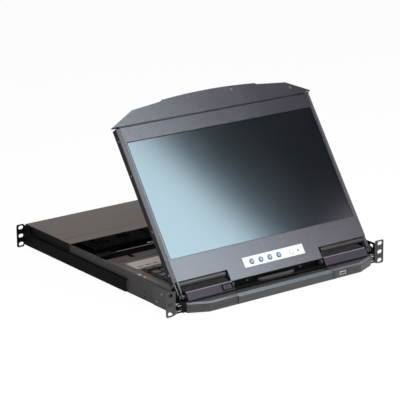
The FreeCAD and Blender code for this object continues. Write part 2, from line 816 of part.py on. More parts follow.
def hinge_arm():
    """Right-hand pair of steel cheeks that hang the screen on its pin."""
    back = -4.6
    outer_x = screen_half - 0.6
    pieces = []
    for x0, x1, front in ((cheek_inner_x, cheek_inner_x + 3, 5.4), (outer_x - 2, outer_x, 2.6)):
        pieces.append(rod_x(x0, x1, 0, 0, eye_r))
        pieces.append(box(x0, x1, 0, screen_foot_v, back, 2.6))
        pieces.append(box(x0, x1, eye_r, screen_foot_v, back, front))
    pieces.append(box(cheek_inner_x, outer_x, screen_foot_v - 2.0, screen_foot_v, back, 0.6))
    hole = rod_x(cheek_inner_x - 1, screen_half, 0, 0, pin_r + pin_gap)
    return on_screen(joined(pieces).cut(hole))


def hinge_lug():
    """Right-hand cheek that reaches out of the screen's foot to the inner pin."""
    eye = rod_x(lug_inner_x, lug_inner_x + lug_thickness, 0, 0, eye_r)
    leg = box(lug_inner_x, lug_inner_x + lug_thickness, 0, screen_foot_v - 6, centre_back_w + 1.6,
              bezel_back_w - 0.2)
    hole = rod_x(lug_inner_x - 1, lug_inner_x + lug_thickness + 1, 0, 0, pin_r + pin_gap)
    return on_screen(joined([eye, leg]).cut(hole))


# telescopic drawer slides

def c_channel(x_web, x_mouth, y0, y1, z0, z1):
    """Channel with its web at x_web, open towards x_mouth."""
    low, high = sorted((x_web, x_mouth))
    channel = box(low, high, y0, y1, z0, z1)
    if x_web > x_mouth:
        inside = box(low - 1, high - slide_sheet, y0 - 1, y1 + 1, z0 + slide_sheet, z1 - slide_sheet)
    else:
        inside = box(low + slide_sheet, high + 1, y0 - 1, y1 + 1, z0 + slide_sheet, z1 - slide_sheet)
    return channel.cut(inside)


def slide_member(step):
    """Member of a right-hand slide: 0 on the wall, 1 between, 2 on the drawer."""
    inset = step * (slide_sheet + slide_gap)
    z0 = slide_bottom + inset
    z1 = slide_bottom + slide_height - inset
    mouth = drawer_half + 2.4
    if step == 0:
        return c_channel(wall_in, mouth, slide_front, slide_front + slide_length, z0, z1)
    if step == 1:
        return c_channel(wall_in - inset, mouth, slide_front + 2, slide_front + 2 + slide_length, z0, z1)
    return c_channel(drawer_half, wall_in - inset - slide_sheet + 0.7, drawer_front + sheet + 0.4,
                     drawer_rear - 4, z0, z1)


# keyboard drawer

def drawer_tray():
    outer = box(-drawer_half, drawer_half, drawer_front, drawer_rear, drawer_bottom, deck_low)
    tray = outer.cut(box(-drawer_half + sheet, drawer_half - sheet, drawer_front + sheet,
                         drawer_rear - sheet, drawer_bottom + sheet, deck_top + 1))
    wing = box(drawer_half - 8, drawer_half + 2.2, drawer_front, drawer_front + sheet, floor_bottom + 0.6,
               plate_bottom - 0.4)
    tray = joined([tray, wing, mirrored(wing)])
    return tray.cut([box(x - 20, x + 20, drawer_rear - 3, drawer_rear + 1, 7.5, 12.5)
                     for x in (-120, 0, 120)])


def deck_opening(x0, x1, y0, y1, low=None):
    """Cut through the deck, or a recess down to a given height."""
    return box(x0, x1, y0, y1, deck_low - 1 if low is None else low, deck_top + 1)


def drawer_deck():
    deck = box(-drawer_half, drawer_half, drawer_front + sheet, drawer_rear - 6, deck_low, deck_top)
    left = key_area_left
    right = key_area_right
    pad = pad_half + pad_gap
    recess = deck_top - 0.5
    cuts = [deck_opening(left - 1.5, right + 1.5, key_row_y[-1] - key_pitch / 2 - 1.5,
                         key_row_y[0] + function_row_depth / 2 + 3.5),
            deck_opening(-pad, pad, pad_front - pad_gap, pad_rear + pad_gap),
            deck_opening(-pad, pad, pad_button_front - pad_gap, pad_button_rear + pad_gap),
            deck_opening(left + 25, left + 35, drawer_rear - 21, drawer_rear),
            deck_opening(left - 8, right + 4, light_strip_front - 3, light_strip_rear + 2, recess),
            deck_opening(status_x - 5.5, status_x + 5.5, column_front - 0.2,
                         column_front + column_length + 0.2, recess),
            rod_z(status_x, status_y, deck_low - 1, deck_top + 1, status_r + button_gap)]
    rim = box(left - 11, right + 7, light_strip_rear + 14, light_strip_rear + 15.4, deck_top, deck_top + 0.8)
    return joined([deck.cut(cuts), rim])


def lock_lamp(x, r, low, high):
    """Long oval lamp, or the hole for one."""
    y = lock_lamp_y
    return [box(x - 4.5, x + 4.5, y - r, y + r, low, high), rod_z(x - 4.5, y, low, high, r),
            rod_z(x + 4.5, y, low, high, r)]


lock_lamp_r = 1.8


def lamp_strip():
    """Light strip behind the keys with three lock lamps."""
    strip = box(key_area_left - 5, key_area_right + 1, light_strip_front, light_strip_rear,
                deck_top - 0.5, deck_top + 0.5)
    cuts = []
    for x in lock_lamp_x:
        cuts += lock_lamp(x, lock_lamp_r + 0.2, deck_top - 1, deck_top + 1)
    return strip.cut(cuts)


def status_column():
    x0 = status_x - 5.3
    x1 = status_x + 5.3
    plate = box(x0, x1, column_front, column_front + column_length, deck_top - 0.5, deck_top + 0.3)
    cuts = []
    for y in (column_front + 9.8, column_front + 72.4):
        cuts.append(box(x0 + 1.8, x1 - 1.8, y - 1.2, y + 1.2, deck_top - 0.1, deck_top + 1))
    cuts.append(rod_z(status_x, status_y, deck_top - 1, deck_top + 1, status_r + button_gap))
    return plate.cut(cuts)


def drawer_lamps():
    """Lock lamps, the amber status lamp and the lamp in the front grip."""
    lamps = [joined(lock_lamp(x, lock_lamp_r, deck_top - 0.5, deck_top + 0.1)) for x in lock_lamp_x]
    lamps.append(box(status_x - 3, status_x + 3, column_front + 38.3, column_front + 41.3,
                     deck_top + 0.3, deck_top + 0.7))
    lamps.append(rod_y(front_lamp_x, handle_front + 0.1, handle_front + 6, front_lamp_z, lamp_guide_r))
    return group(lamps)


def status_button():
    stem = rod_z(status_x, status_y, deck_top - 2.4, deck_top + 1.2, status_r)
    collar = rod_z(status_x, status_y, deck_top - 2.4, deck_low - 0.2, status_r + 1.2)
    return joined([stem, collar])


row_pin_inset = 20.0
row_pin_x = [key_area_left + row_pin_inset, key_area_right - row_pin_inset]
row_pin_r = 1.5


def keyboard_base():
    left = key_area_left
    right = key_area_right
    low = deck_low
    y0 = key_row_y[-1] - key_pitch / 2 - 3.5
    y1 = key_row_y[0] + function_row_depth / 2 + 5.5
    base = box(left - 4, right + 4, y0, y1, low - 3.6, low - 2.4)
    sides = [box(left - 4, left - 2.6, y0, y1, low - 2.4, low),
             box(right + 2.6, right + 4, y0, y1, low - 2.4, low)]
    feet = [box(x - 5, x + 5, key_front_y + 35, key_front_y + 65, drawer_bottom + sheet, low - 3.6)
            for x in (left + 17, left + 157, right - 15)]
    holes = [rod_z(x, y, 0, low, row_pin_r + 0.3) for y in key_row_y for x in row_pin_x]
    return joined([base] + sides + feet).cut(holes)


# key widths of each row, in key units, from the rear row to the front
key_rows = [
    [1] * 18,
    [1] * 13 + [2, 1, 1, 1],
    [1.5] + [1] * 12 + [1.5, 1, 1, 1],
    [1.75] + [1] * 11 + [2.25, 1, 1, 1],
    [2.25] + [1] * 10 + [2.75, 1, 1, 1],
    [1.25, 1.25, 1.25, 6.25, 1.25, 1.25, 1.25, 1.25, 1, 1, 1],
]


def key_row(index):
    y = key_row_y[index]
    half = (function_row_depth if index == 0 else key_pitch) / 2 - key_gap
    low = deck_low - 0.1
    x = key_area_left
    pieces = [box(x + 2, key_area_right - 2, y - 2.5, y + 2.5, low - 0.1, low + 0.6)]
    for units in key_rows[index]:
        width = units * key_pitch
        pieces.append(frustum(x + key_gap, x + width - key_gap, y - half, y + half,
                              low + 0.3, key_top, key_taper))
        x += width
    pieces += [rod_z(px, y, low - 4.6, low + 0.2, row_pin_r) for px in row_pin_x]
    return joined(pieces)


def touch_pad():
    pad = box(-pad_half, pad_half, pad_front, pad_rear, deck_top - 0.9, deck_top - 0.3)
    half = pad_half + 2.8
    frame = box(-half, half, pad_front - 1.9, pad_rear + 2.8, deck_low - 1.2, deck_low)
    stem = box(-pad_half + 2.2, pad_half - 2.2, pad_front + 1.2, pad_rear - 1.2, deck_low, deck_top - 0.9)
    posts = [box(x - 4, x + 4, pad_front + 20.2, pad_front + 28.2, drawer_bottom + sheet, deck_low - 1.2)
             for x in (-30, 30)]
    return joined([pad, frame, stem] + posts)


def pad_button(x0, x1):
    cap = box(x0, x1, pad_button_front, pad_button_rear, deck_low + 0.4, deck_top + 0.4)
    flange = box(x0 + 3, x1 - 3, pad_button_front + 1.2, pad_button_rear - 1.2, deck_low - 1.0,
                 deck_low + 0.4)
    return joined([cap, flange])


def handle_centre():
    """Middle of the drawer's front handle, with a bright bevelled top edge."""
    front = handle_front
    top = handle_top
    shoulder = handle_top - 3.4
    profile = [(front - 0.6, handle_low), (front - 0.6, top - 4), (front + 4.4, top), (front + 6.2, top),
               (front + 8.4, shoulder), (drawer_front, shoulder), (drawer_front, handle_low)]
    right = handle_seam - 4.6
    bar = along_x(profile, -handle_seam, right)
    hollow = box(-handle_seam + 3, right - 3, front + 6.5, drawer_front - 2, 1, top - 6)
    return bar.cut(hollow)


def grip_outline(inner, end, inset):
    k = inset
    return [(inner, drawer_front), (inner, handle_front + k),
            (handle_corner - 0.2 * k, handle_front + k), (end - 0.3 * k, drawer_front - 4 + k),
            (end - 0.3 * k, drawer_front)]


def usb_box(half_x, y0, y1, low, high):
    """Box about the middle of the front USB socket."""
    return box(usb_x - half_x, usb_x + half_x, y0, y1, usb_z + low, usb_z + high)


def handle_grip(has_socket):
    """Right-hand end of the handle; the USB socket is in one of them."""
    inner = handle_seam - 4.2 if has_socket else handle_seam + 0.4
    end = handle_end if has_socket else left_handle_end
    front = handle_front
    shoulder = handle_top - 2.6
    low = along_z(grip_outline(inner, end, 0), handle_low, shoulder)
    top = taper(grip_outline(inner, end, 0), shoulder, grip_outline(inner, end, 3.2), handle_top)
    grip = joined([low, top])
    hollow_x = handle_seam + 32
    hollow = along_z([(hollow_x, drawer_front - 3), (hollow_x, front + 4.8), (handle_corner - 2, front + 4.8),
                      (end - 8, drawer_front - 3)], 1, handle_top - 5)
    grip = grip.cut(hollow)
    if has_socket:
        ribs = [box(inner + dx, inner + 1.8 + dx, front - 0.9, front + 1.0, handle_low, shoulder + 0.8)
                for dx in (0, 3.4)]
        grip = joined([grip] + ribs)
        grip = grip.cut([usb_box(6.8, front - 1, front + 14, -3.2, 3.2),
                         rod_y(front_lamp_x, front - 1, front + 6, front_lamp_z, lamp_guide_r)])
    return grip


def front_usb():
    y0 = handle_front
    shell = usb_box(6.6, y0 + 0.2, y0 + 14, -3.0, 3.0).cut(usb_box(5.8, y0 - 1, y0 + 12, -2.3, 2.3))
    return joined([shell, usb_box(4.8, y0 + 1.2, y0 + 12, 0.4, 1.6)])


# save every node

wall_guide = bracket_guide()
cover_lips = cover_rails()
save("chassis_tray", joined([chassis_tray(), wall_guide, mirrored(wall_guide), cover_lips]))
ear = front_ear()
save("front_ears", group([ear, mirrored(ear)]))
save("chassis_screws", chassis_screws())
save("top_cover", top_cover())
save("rear_panel", rear_panel())
save("power_inlet", group([power_inlet(), rocker_frame()]))
save("power_rocker", power_rocker())
save("video_ports", video_ports())
save("data_ports", group([usb_ports(), audio_jacks(), network_port()]))
save("main_board", main_board())
save("power_supply", power_supply())
save("lead_guide", group([cable_box(), guide_arm()]))
save_pair("rear_bracket", rear_bracket())
rail = carriage_rail()
save("carriage_rails", group([rail, mirrored(rail)]))

save("screen_carriage", carriage())
block = hinge_block()
save("hinge_block_right", block)
save("hinge_block_left", mirrored(block).cut(catch_pocket()))
save("tilt_catch", tilt_catch())
save("hinge_pins", hinge_pins())
save("slide_catch", slide_catch())
save("carriage_screws", carriage_screws())

save("screen_bezel", screen_bezel())
save("screen_shell", screen_shell())
save("screen_glass", screen_glass())
save("screen_panel", screen_panel())
save("control_board", control_board())
save("control_strip", control_strip())
for number, x in enumerate(menu_button_x, 1):
    save("menu_button_%d" % number, strip_button(x))
save("power_button", strip_button(power_button_x))
save("top_plate", top_plate())
save("plate_screws", plate_screws())
arm = hinge_arm()
lug = hinge_lug()
save("hinge_arms", group([arm, mirrored(arm), lug, mirrored(lug)]))
bar = hinge_bar()
save("hinge_bars", group([bar, mirrored(bar)]))

slides = [slide_member(step) for step in range(3)]
save("slide_outers", group([slides[0], mirrored(slides[0])]))
save("slide_middles", group([slides[1], mirrored(slides[1])]))
save("slide_inners", group([slides[2], mirrored(slides[2])]))

save("drawer_tray", drawer_tray())
save("drawer_deck", drawer_deck())
save("deck_trim", group([lamp_strip(), status_column()]))
save("drawer_lamps", drawer_lamps())
save("status_button", status_button())
save("keyboard_base", keyboard_base())
for index in range(len(key_row_y)):
    save("key_row_%d" % (index + 1), key_row(index))
save("touch_pad", touch_pad())
save("pad_button_left", pad_button(-pad_half, -0.4))
save("pad_button_right", pad_button(0.4, pad_half))
save("handle_centre", handle_centre())
save("handle_grip_left", mirrored(handle_grip(False)))
save("handle_grip_right", handle_grip(True))
save("front_usb", front_usb())
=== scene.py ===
"""Looks of a rack console drawer with a folding screen, built round its packed frame."""
import math

import bmesh
import bpy
from bpy.props import FloatProperty, FloatVectorProperty, PointerProperty
from mathutils import Matrix, Vector


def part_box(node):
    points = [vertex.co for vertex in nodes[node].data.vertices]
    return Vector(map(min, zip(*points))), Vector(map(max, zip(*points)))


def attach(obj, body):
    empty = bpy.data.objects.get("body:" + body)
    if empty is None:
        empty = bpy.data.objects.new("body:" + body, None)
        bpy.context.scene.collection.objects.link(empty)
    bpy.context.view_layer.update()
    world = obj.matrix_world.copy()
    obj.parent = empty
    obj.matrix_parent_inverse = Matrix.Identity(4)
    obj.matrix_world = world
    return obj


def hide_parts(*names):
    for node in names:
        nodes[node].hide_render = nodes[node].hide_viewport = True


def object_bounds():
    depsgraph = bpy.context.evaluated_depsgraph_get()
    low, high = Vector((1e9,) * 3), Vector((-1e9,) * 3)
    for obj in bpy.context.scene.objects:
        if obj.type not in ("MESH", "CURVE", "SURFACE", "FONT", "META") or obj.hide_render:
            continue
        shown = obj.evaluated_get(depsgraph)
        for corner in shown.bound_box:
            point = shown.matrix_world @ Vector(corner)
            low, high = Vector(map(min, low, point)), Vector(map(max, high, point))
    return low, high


bl_info = {
    "name": "Rack Console Drawer",
    "version": (1, 0, 0),
    "blender": (4, 5, 0),
    "location": "3D View > Sidebar > Console",
    "description": "Finishes and fine parts of a 1U rack console drawer",
    "category": "Object",
}

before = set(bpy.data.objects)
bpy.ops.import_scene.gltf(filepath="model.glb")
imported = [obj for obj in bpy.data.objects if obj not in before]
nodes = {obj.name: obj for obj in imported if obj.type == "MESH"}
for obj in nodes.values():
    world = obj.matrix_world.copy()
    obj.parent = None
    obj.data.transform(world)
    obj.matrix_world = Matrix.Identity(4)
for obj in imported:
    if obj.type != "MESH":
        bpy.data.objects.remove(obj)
cad_low, cad_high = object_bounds()
screen_tilt = math.radians(54.9)
pin_low, pin_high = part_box("hinge_pins")
pivot = Vector((0.0, (pin_low.y + pin_high.y) / 2, (pin_low.z + pin_high.z) / 2))
screen_up = Vector((0.0, math.cos(screen_tilt), math.sin(screen_tilt)))
screen_out = Vector((0.0, -math.sin(screen_tilt), math.cos(screen_tilt)))
back_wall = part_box("rear_panel")[1].y
FORWARD = Vector((0.0, -1.0, 0.0))
REARWARD = Vector((0.0, 1.0, 0.0))
UPWARD = Vector((0.0, 0.0, 1.0))


# sizes and colours

def colour(name, description, default):
    """Property that holds a colour."""
    return FloatVectorProperty(name=name, description=description, default=default,
                               subtype="COLOR", size=3, min=0.0, max=1.0)


def length(name, description, default):
    """Property that holds a small length."""
    return FloatProperty(name=name, description=description, default=default,
                         subtype="DISTANCE", unit="LENGTH", min=0.0, precision=5)


def power(name, description, default):
    """Property that holds a lamp's power."""
    return FloatProperty(name=name, description=description, default=default, min=0.0,
                         subtype="POWER", unit="POWER")


def spot(name, description, default):
    """Property that holds a place in the room."""
    return FloatVectorProperty(name=name, description=description, default=default, size=3,
                               subtype="TRANSLATION", unit="LENGTH")


class CaseFinish(bpy.types.PropertyGroup):
    """Colours and rounding of the painted steel."""
    # Black coat: the real coat of the rear panel and brackets; inward of the walls' outer faces it
    # is painted shade
    black: colour("Black coat", "Powder coat of the brackets and inside", (0.006, 0.0057, 0.0055))
    wall: colour("Wall coat", "Powder coat of the walls outside", (0.058, 0.056, 0.055))
    ear: colour("Ear coat", "Powder coat of the front ears", (0.048, 0.045, 0.048))
    # Cover grey: partly paint and partly painted sheen, the grey standing in part for the sheen of
    # black paint under the overhead light
    cover: colour("Cover grey", "Paint of the top cover", (0.141, 0.119, 0.109))
    deck: colour("Deck grey", "Paint of the keyboard deck", (0.088, 0.073, 0.066))
    zinc: colour("Zinc", "Bright plating of slides and screws", (0.62, 0.62, 0.61))
    edge: length("Edge rounding", "Rounding of sheet edges", 0.0003)


class ScreenFinish(bpy.types.PropertyGroup):
    """Colours of the screen module."""
    bezel: colour("Bezel grey", "Moulded front of the screen", (0.017, 0.012, 0.018))
    shell: colour("Shell black", "Back cover of the screen", (0.014, 0.013, 0.013))
    glass: colour("Panel black", "Screen that is switched off", (0.003, 0.003, 0.004))
    strip: colour("Strip white", "Printed strip under the screen", (0.60, 0.61, 0.60))
    button: colour("Button blue", "Menu buttons on the strip", (0.24, 0.33, 0.39))
    edge: length("Edge rounding", "Rounding of moulded edges", 0.0005)


class DrawerFinish(bpy.types.PropertyGroup):
    """Colours and sizes of the keyboard drawer and its handle."""
    key: colour("Key black", "Key caps", (0.022, 0.021, 0.021))
    handle: colour("Handle grey", "Centre of the handle", (0.040, 0.037, 0.038))
    grip: colour("Grip grey", "Dotted ends of the handle", (0.045, 0.042, 0.042))
    # painted highlight: the paler colour of the handle's top bevel stands in for the lamps'
    # reflection along it
    bevel: colour("Bevel grey", "Satin bevel along the handle's top", (0.088, 0.096, 0.104))
    block: colour("Block grey", "Hinge blocks", (0.038, 0.029, 0.038))
    # painted highlight: the paler colour along the top edge of the hinge blocks stands in for the
    # lamps' reflection there
    rim_highlight: colour("Block rim", "Worn upper edge of the hinge blocks", (0.17, 0.16, 0.18))
    amber: colour("Amber", "Status lamp", (0.80, 0.22, 0.05))
    key_dish: length("Key dish", "Depth of the dish in a key cap", 0.00035)
    key_round: length("Key rounding", "Corner radius of a key cap", 0.0016)
    dot_pitch: length("Dot pitch", "Spacing of the dots on the grips", 0.0033)
    dot_radius: length("Dot radius", "Size of a dot on the grips", 0.0011)


class StageSetting(bpy.types.PropertyGroup):
    """Camera, floor and lamps."""
    floor: colour("Floor", "Pale floor", (0.90, 0.90, 0.90))
    lens: FloatProperty(name="Lens", description="Focal length of the camera in millimetres",
                        default=173.07, min=10.0)
    roll: FloatProperty(name="Roll", description="Turn of the camera about its view",
                        subtype="ANGLE", unit="ROTATION", default=math.radians(-0.46))
    place: spot("Place", "Where the camera stands", (-1.98206, -2.47091, 1.09631))
    aim: spot("Aim", "What the camera looks at", (0.2101, 0.5179, -0.02185))
    key_light: power("Key light", "Power of the soft box that the screen mirrors", 19.0)
    low_light: power("Low light", "Power of the panel under the soft box", 1.4)
    fill_light: power("Fill light", "Power of the soft box on the left", 11.0)
    top_light: power("Top light", "Power of the soft box overhead", 24.0)
    front_light: power("Front light", "Power of the small soft box in front", 3.0)
    reach: FloatProperty(name="Reach", description="Distance of the soft box from the screen",
                         subtype="DISTANCE", unit="LENGTH", default=1.5, min=0.2)


# shader sums

def put(place, value):
    """Link one socket to a value, or set it."""
    if isinstance(value, Value):
        place.id_data.links.new(value.socket, place)
    elif place.type == "RGBA":
        place.default_value = (*value, 1.0)
    else:
        place.default_value = value


class Value:
    """A node's output that takes part in sums."""

    def __init__(self, socket):
        self.socket = socket

    def math(self, operation, *numbers):
        """One sum over numbers and values."""
        node = self.socket.id_data.nodes.new("ShaderNodeMath")
        node.operation = operation
        for place, number in zip(node.inputs, numbers):
            put(place, number)
        return Value(node.outputs[0])

    def __add__(self, other):
        return self.math("ADD", self, other)

    def __radd__(self, other):
        return self.math("ADD", other, self)

    def __sub__(self, other):
        return self.math("SUBTRACT", self, other)

    def __rsub__(self, other):
        return self.math("SUBTRACT", other, self)

    def __mul__(self, other):
        return self.math("MULTIPLY", self, other)

    def __rmul__(self, other):
        return self.math("MULTIPLY", other, self)

    def __gt__(self, edge):
        return self.math("GREATER_THAN", self, edge)

    def __lt__(self, edge):
        return self.math("LESS_THAN", self, edge)

    def size(self):
        """The value without its sign."""
        return self.math("ABSOLUTE", self)

    def part(self):
        """What is left past the last whole number."""
        return self.math("FRACT", self)


class Graph:
    """The nodes of a material or a world."""

    def __init__(self, owner, kind):
        owner.use_nodes = True
        self.nodes = owner.node_tree.nodes
        self.nodes.clear()
        self.output = self.nodes.new("ShaderNodeOutput" + kind)

    def node(self, kind, settings=None, output=0, places=None, **values):
        """One node: its settings first, then its sockets, by number or by name."""
        made = self.nodes.new("ShaderNode" + kind)
        for name, setting in (settings or {}).items():
            setattr(made, name, setting)
        for number, value in (places or {}).items():
            put(made.inputs[number], value)
        for name, value in values.items():
            put(made.inputs[name.replace("_", " ").title()], value)
        return Value(made.outputs[output])

    def show(self, surface):
        """Lead a shader to the output."""
        put(self.output.inputs["Surface"], surface)


class Finish(Graph):
    """A material with one principled shader, and the nodes that feed it."""

    def __init__(self, name, **constants):
        self.material = bpy.data.materials.new(name)
        super().__init__(self.material, "Material")
        self.surface = self.node("BsdfPrincipled")
        self.shader = self.surface.socket.node
        self.show(self.surface)
        self.feed(**constants)

    def feed(self, **values):
        """Set or link the shader's sockets; base_color stands for Base Color."""
        for name, value in values.items():
            title = name.replace("_", " ").title().replace("Ior", "IOR")
            put(self.shader.inputs[title], value)

    def place(self):
        """Place on the object."""
        return self.node("TexCoord", output="Object")

    def stretched(self, x, y, z):
        """Object place with each axis scaled."""
        return self.node("Mapping", vector=self.place(), scale=(x, y, z))

    def noise(self, scale, detail=2.0, roughness=0.5, vector=None):
        """Cloudy noise, on the object's own place unless told otherwise."""
        return self.node("TexNoise", vector=vector or self.place(), scale=scale, detail=detail,
                         roughness=roughness)

    def axis(self, name):
        """One of the object's three axes."""
        return self.node("SeparateXYZ", output=name, vector=self.place())

    def facing(self, name):
        """One part of the surface's direction."""
        return self.node("SeparateXYZ", output=name, vector=self.node("TexCoord", output="Normal"))

    def overlay(self, share, tint):
        """Another base colour over the one that is linked."""
        coat = Value(self.shader.inputs["Base Color"].links[0].from_socket)
        self.feed(base_color=self.mixed(share, coat, tint))

    def mixed(self, share, low, high):
        """Colour between two, by a share."""
        return self.node("Mix", {"data_type": "RGBA"}, 2, {0: share, 6: low, 7: high})

    def bump(self, height, depth):
        """Relief in the surface, as deep as given."""
        self.feed(normal=self.node("Bump", height=height, distance=depth, strength=1.0))


def shade(tint, factor):
    """A colour made darker or lighter."""
    return tuple(min(1.0, channel * factor) for channel in tint)


def coated(name, tint, rough=0.42, grain=1400.0, depth=0.00005, drift=0.10, **constants):
    """Paint or moulded plastic: fine grain, slow drift of tone."""
    finish = Finish(name, **constants)
    grain_noise = finish.noise(grain, 2.0, 0.6)
    slow = finish.noise(9.0, 3.0, 0.55)
    tone = slow * 0.7 + grain_noise * 0.3
    finish.feed(base_color=finish.mixed(tone, shade(tint, 1.0 - drift), shade(tint, 1.0 + drift)),
                roughness=rough + (slow - 0.5) * 0.10 + (grain_noise - 0.5) * 0.06)
    finish.bump(grain_noise, depth)
    return finish


def plated(name, tint, rough=0.30):
    """Zinc plating with spangle and drawing lines."""
    finish = Finish(name, metallic=1.0)
    lines = finish.noise(300.0, 2.0, 0.6, finish.stretched(12.0, 0.6, 12.0))
    spangle = finish.node("TexVoronoi", {"feature": "F1"}, "Color", vector=finish.place(),
                          scale=260.0)
    grey = finish.node("RGBToBW", color=spangle)
    tone = lines * 0.5 + grey * 0.5
    finish.feed(base_color=finish.mixed(tone, shade(tint, 0.72), shade(tint, 1.15)),
                roughness=rough + (lines - 0.5) * 0.2)
    finish.bump(lines, 0.00003)
    return finish


# pieces

WELD_GAP = 0.00002
SHARP_EDGE = math.radians(35)


def dress(node, finish, edge=0.0):
    """Give a frame node its finish, and rounded edges where asked."""
    thing = nodes[node]
    thing.data.materials.clear()
    thing.data.materials.append(finish.material)
    if edge:
        weld = thing.modifiers.new("weld", "WELD")
        weld.merge_threshold = WELD_GAP
        bevel = thing.modifiers.new("rounding", "BEVEL")
        bevel.width = edge
        bevel.segments = 2
        bevel.limit_method = "ANGLE"
        bevel.angle_limit = SHARP_EDGE
        bevel.harden_normals = False


def piece(name, shape, body, finish, *stands_for):
    """Turn a bmesh into a piece that rides on a body."""
    bmesh.ops.recalc_face_normals(shape, faces=shape.faces)
    mesh = bpy.data.meshes.new(name)
    shape.to_mesh(mesh)
    shape.free()
    mesh.materials.append(finish.material)
    thing = bpy.data.objects.new(name, mesh)
    bpy.context.scene.collection.objects.link(thing)
    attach(thing, body)
    if stands_for:
        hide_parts(*stands_for)
    return thing


def soften(thing, angle=40):
    """Smooth shading on all but the sharper edges."""
    for face in thing.data.polygons:
        face.use_smooth = True
    with bpy.context.temp_override(object=thing, active_object=thing, selected_objects=[thing],
                                   selected_editable_objects=[thing]):
        bpy.ops.object.shade_smooth_by_angle(angle=math.radians(angle))


def ring(shape, points):
    """New corners at some points."""
    return [shape.verts.new(point) for point in points]


def bridge(shape, low, high):
    """Four-sided faces between two rings."""
    count = len(low)
    for k in range(count):
        shape.faces.new((low[k], low[(k + 1) % count], high[(k + 1) % count], high[k]))


def cap(shape, edge, tip):
    """Fan of faces from a ring to a point."""
    middle = shape.verts.new(tip)
    count = len(edge)
    for k in range(count):
        shape.faces.new((edge[k], edge[(k + 1) % count], middle))


def solid(shape, rings):
    """Closed skin over rings that have the same number of points."""
    levels = [ring(shape, points) for points in rings]
    for low, high in zip(levels, levels[1:]):
        bridge(shape, low, high)
    shape.faces.new(levels[0])
    shape.faces.new(levels[-1])


def circle(place, axis, radius, height, steps):
    """Points of a circle about an axis."""
    turn = axis.to_track_quat("Z", "Y")
    angles = [2 * math.pi * k / steps for k in range(steps)]
    return [place + turn @ Vector((radius * math.cos(a), radius * math.sin(a), height))
            for a in angles]


def turned(shape, place, axis, profile, steps=24):
    """Body turned about an axis, from pairs of radius and height."""
    solid(shape, [circle(place, axis, radius, height, steps) for radius, height in profile])


def hoop(shape, place, axis, inner, outer, low, high, steps=28):
    """Flat ring about an axis."""
    corners = ((inner, low), (outer, low), (outer, high), (inner, high))
    levels = [ring(shape, circle(place, axis, radius, height, steps))
              for radius, height in corners]
    for k in range(4):
        bridge(shape, levels[k], levels[(k + 1) % 4])


def screw(shape, place, axis, radius, height):
    """Domed head with a cross recess."""
    core = 0.56 * radius
    slot = 0.13 * radius
    turned(shape, place, axis,
           [(radius, 0.0), (radius, 0.45 * height), (0.88 * radius, 0.82 * height),
            (core, height), (core, 0.15 * height)])
    turn = axis.to_track_quat("Z", "Y")
    reach = math.sqrt(core ** 2 - slot ** 2)
    corner = core * 0.7071
    wedge = ((slot, slot), (reach, slot), (corner, corner), (slot, reach))
    for quarter in range(4):
        spin = Matrix.Rotation(math.pi * quarter / 2, 3, "Z")
        solid(shape, [[place + turn @ (spin @ Vector((a, b, level))) for a, b in wedge]
                      for level in (0.1 * height, height)])


def rounded(x0, x1, y0, y1, z, radius, steps=3):
    """Points of a rectangle with round corners at one height."""
    corners = ((x1, y0, -90), (x1, y1, 0), (x0, y1, 90), (x0, y0, 180))
    points = []
    for x, y, start in corners:
        cx = x - radius if x == x1 else x + radius
        cy = y - radius if y == y1 else y + radius
        for k in range(steps + 1):
            a = math.radians(start + 90 * k / steps)
            points.append((cx + radius * math.cos(a), cy + radius * math.sin(a), z))
    return points


def slab(shape, low, high, radius=0.0003, place=Vector):
    """Flat body with round corners and a softened upper edge."""
    soft = min(radius, (high[2] - low[2]) * 0.4)
    levels = ((0.0, low[2]), (0.0, high[2] - soft), (soft * 0.7, high[2]))
    rings = []
    for inset, z in levels:
        outline = rounded(low[0] + inset, high[0] - inset, low[1] + inset, high[1] - inset, z,
                          max(radius - inset, 0.00002))
        rings.append([place(point) for point in outline])
    solid(shape, rings)


def on_screen(point):
    """Place given across, up and out of the screen, from the hinge."""
    across, up, out = point
    return pivot + Vector((across, 0.0, 0.0)) + screen_up * up + screen_out * out


def on_back(point):
    """Place on the back wall, given across, up and out of it."""
    across, up, out = point
    return Vector((across, back_wall + out, up))


def screen_box(node):
    """Lowest and highest corner of a node, measured across, up and out of the screen."""
    points = [corner.co - pivot for corner in nodes[node].data.vertices]
    local = [(point.x, point.dot(screen_up), point.dot(screen_out)) for point in points]
    return [Vector(pick(p[i] for p in local) for i in range(3)) for pick in (min, max)]


def loose_boxes(node):
    """Boxes of the separate solids in one frame node."""
    shape = bmesh.new()
    shape.from_mesh(nodes[node].data)
    bmesh.ops.remove_doubles(shape, verts=shape.verts, dist=0.00001)
    left = set(shape.verts)
    found = []
    while left:
        stack = [left.pop()]
        group = []
        while stack:
            corner = stack.pop()
            group.append(corner.co.copy())
            for edge in corner.link_edges:
                other = edge.other_vert(corner)
                if other in left:
                    left.discard(other)
                    stack.append(other)
        low = Vector(min(p[i] for p in group) for i in range(3))
        high = Vector(max(p[i] for p in group) for i in range(3))
        found.append((low, high))
    shape.free()
    return sorted(found, key=lambda pair: tuple(round(c, 4) for c in pair[0]))


def right_ear():
    """Box of the right-hand ear, whose leg lies on the wall."""
    return loose_boxes("front_ears")[1]


def centre(low, high):
    """Middle of a box."""
    return (low + high) / 2


def stud(node):
    """Middle, on the screen, and radius of a round node."""
    low, high = screen_box(node)
    return centre(low, high), (high.x - low.x) / 2


# operators

# lamps on the plane that the screen reflects: name, steps across and up, size, power, tint
MIRRORED_LAMPS = (
    ("soft_box", (-0.53, 0.12), (0.90, 0.94), "key_light", (0.80, 0.91, 1.0)),
    ("low_box", (0.14, -0.45), (0.90, 0.40), "low_light", (1.0, 0.78, 0.92)),
)
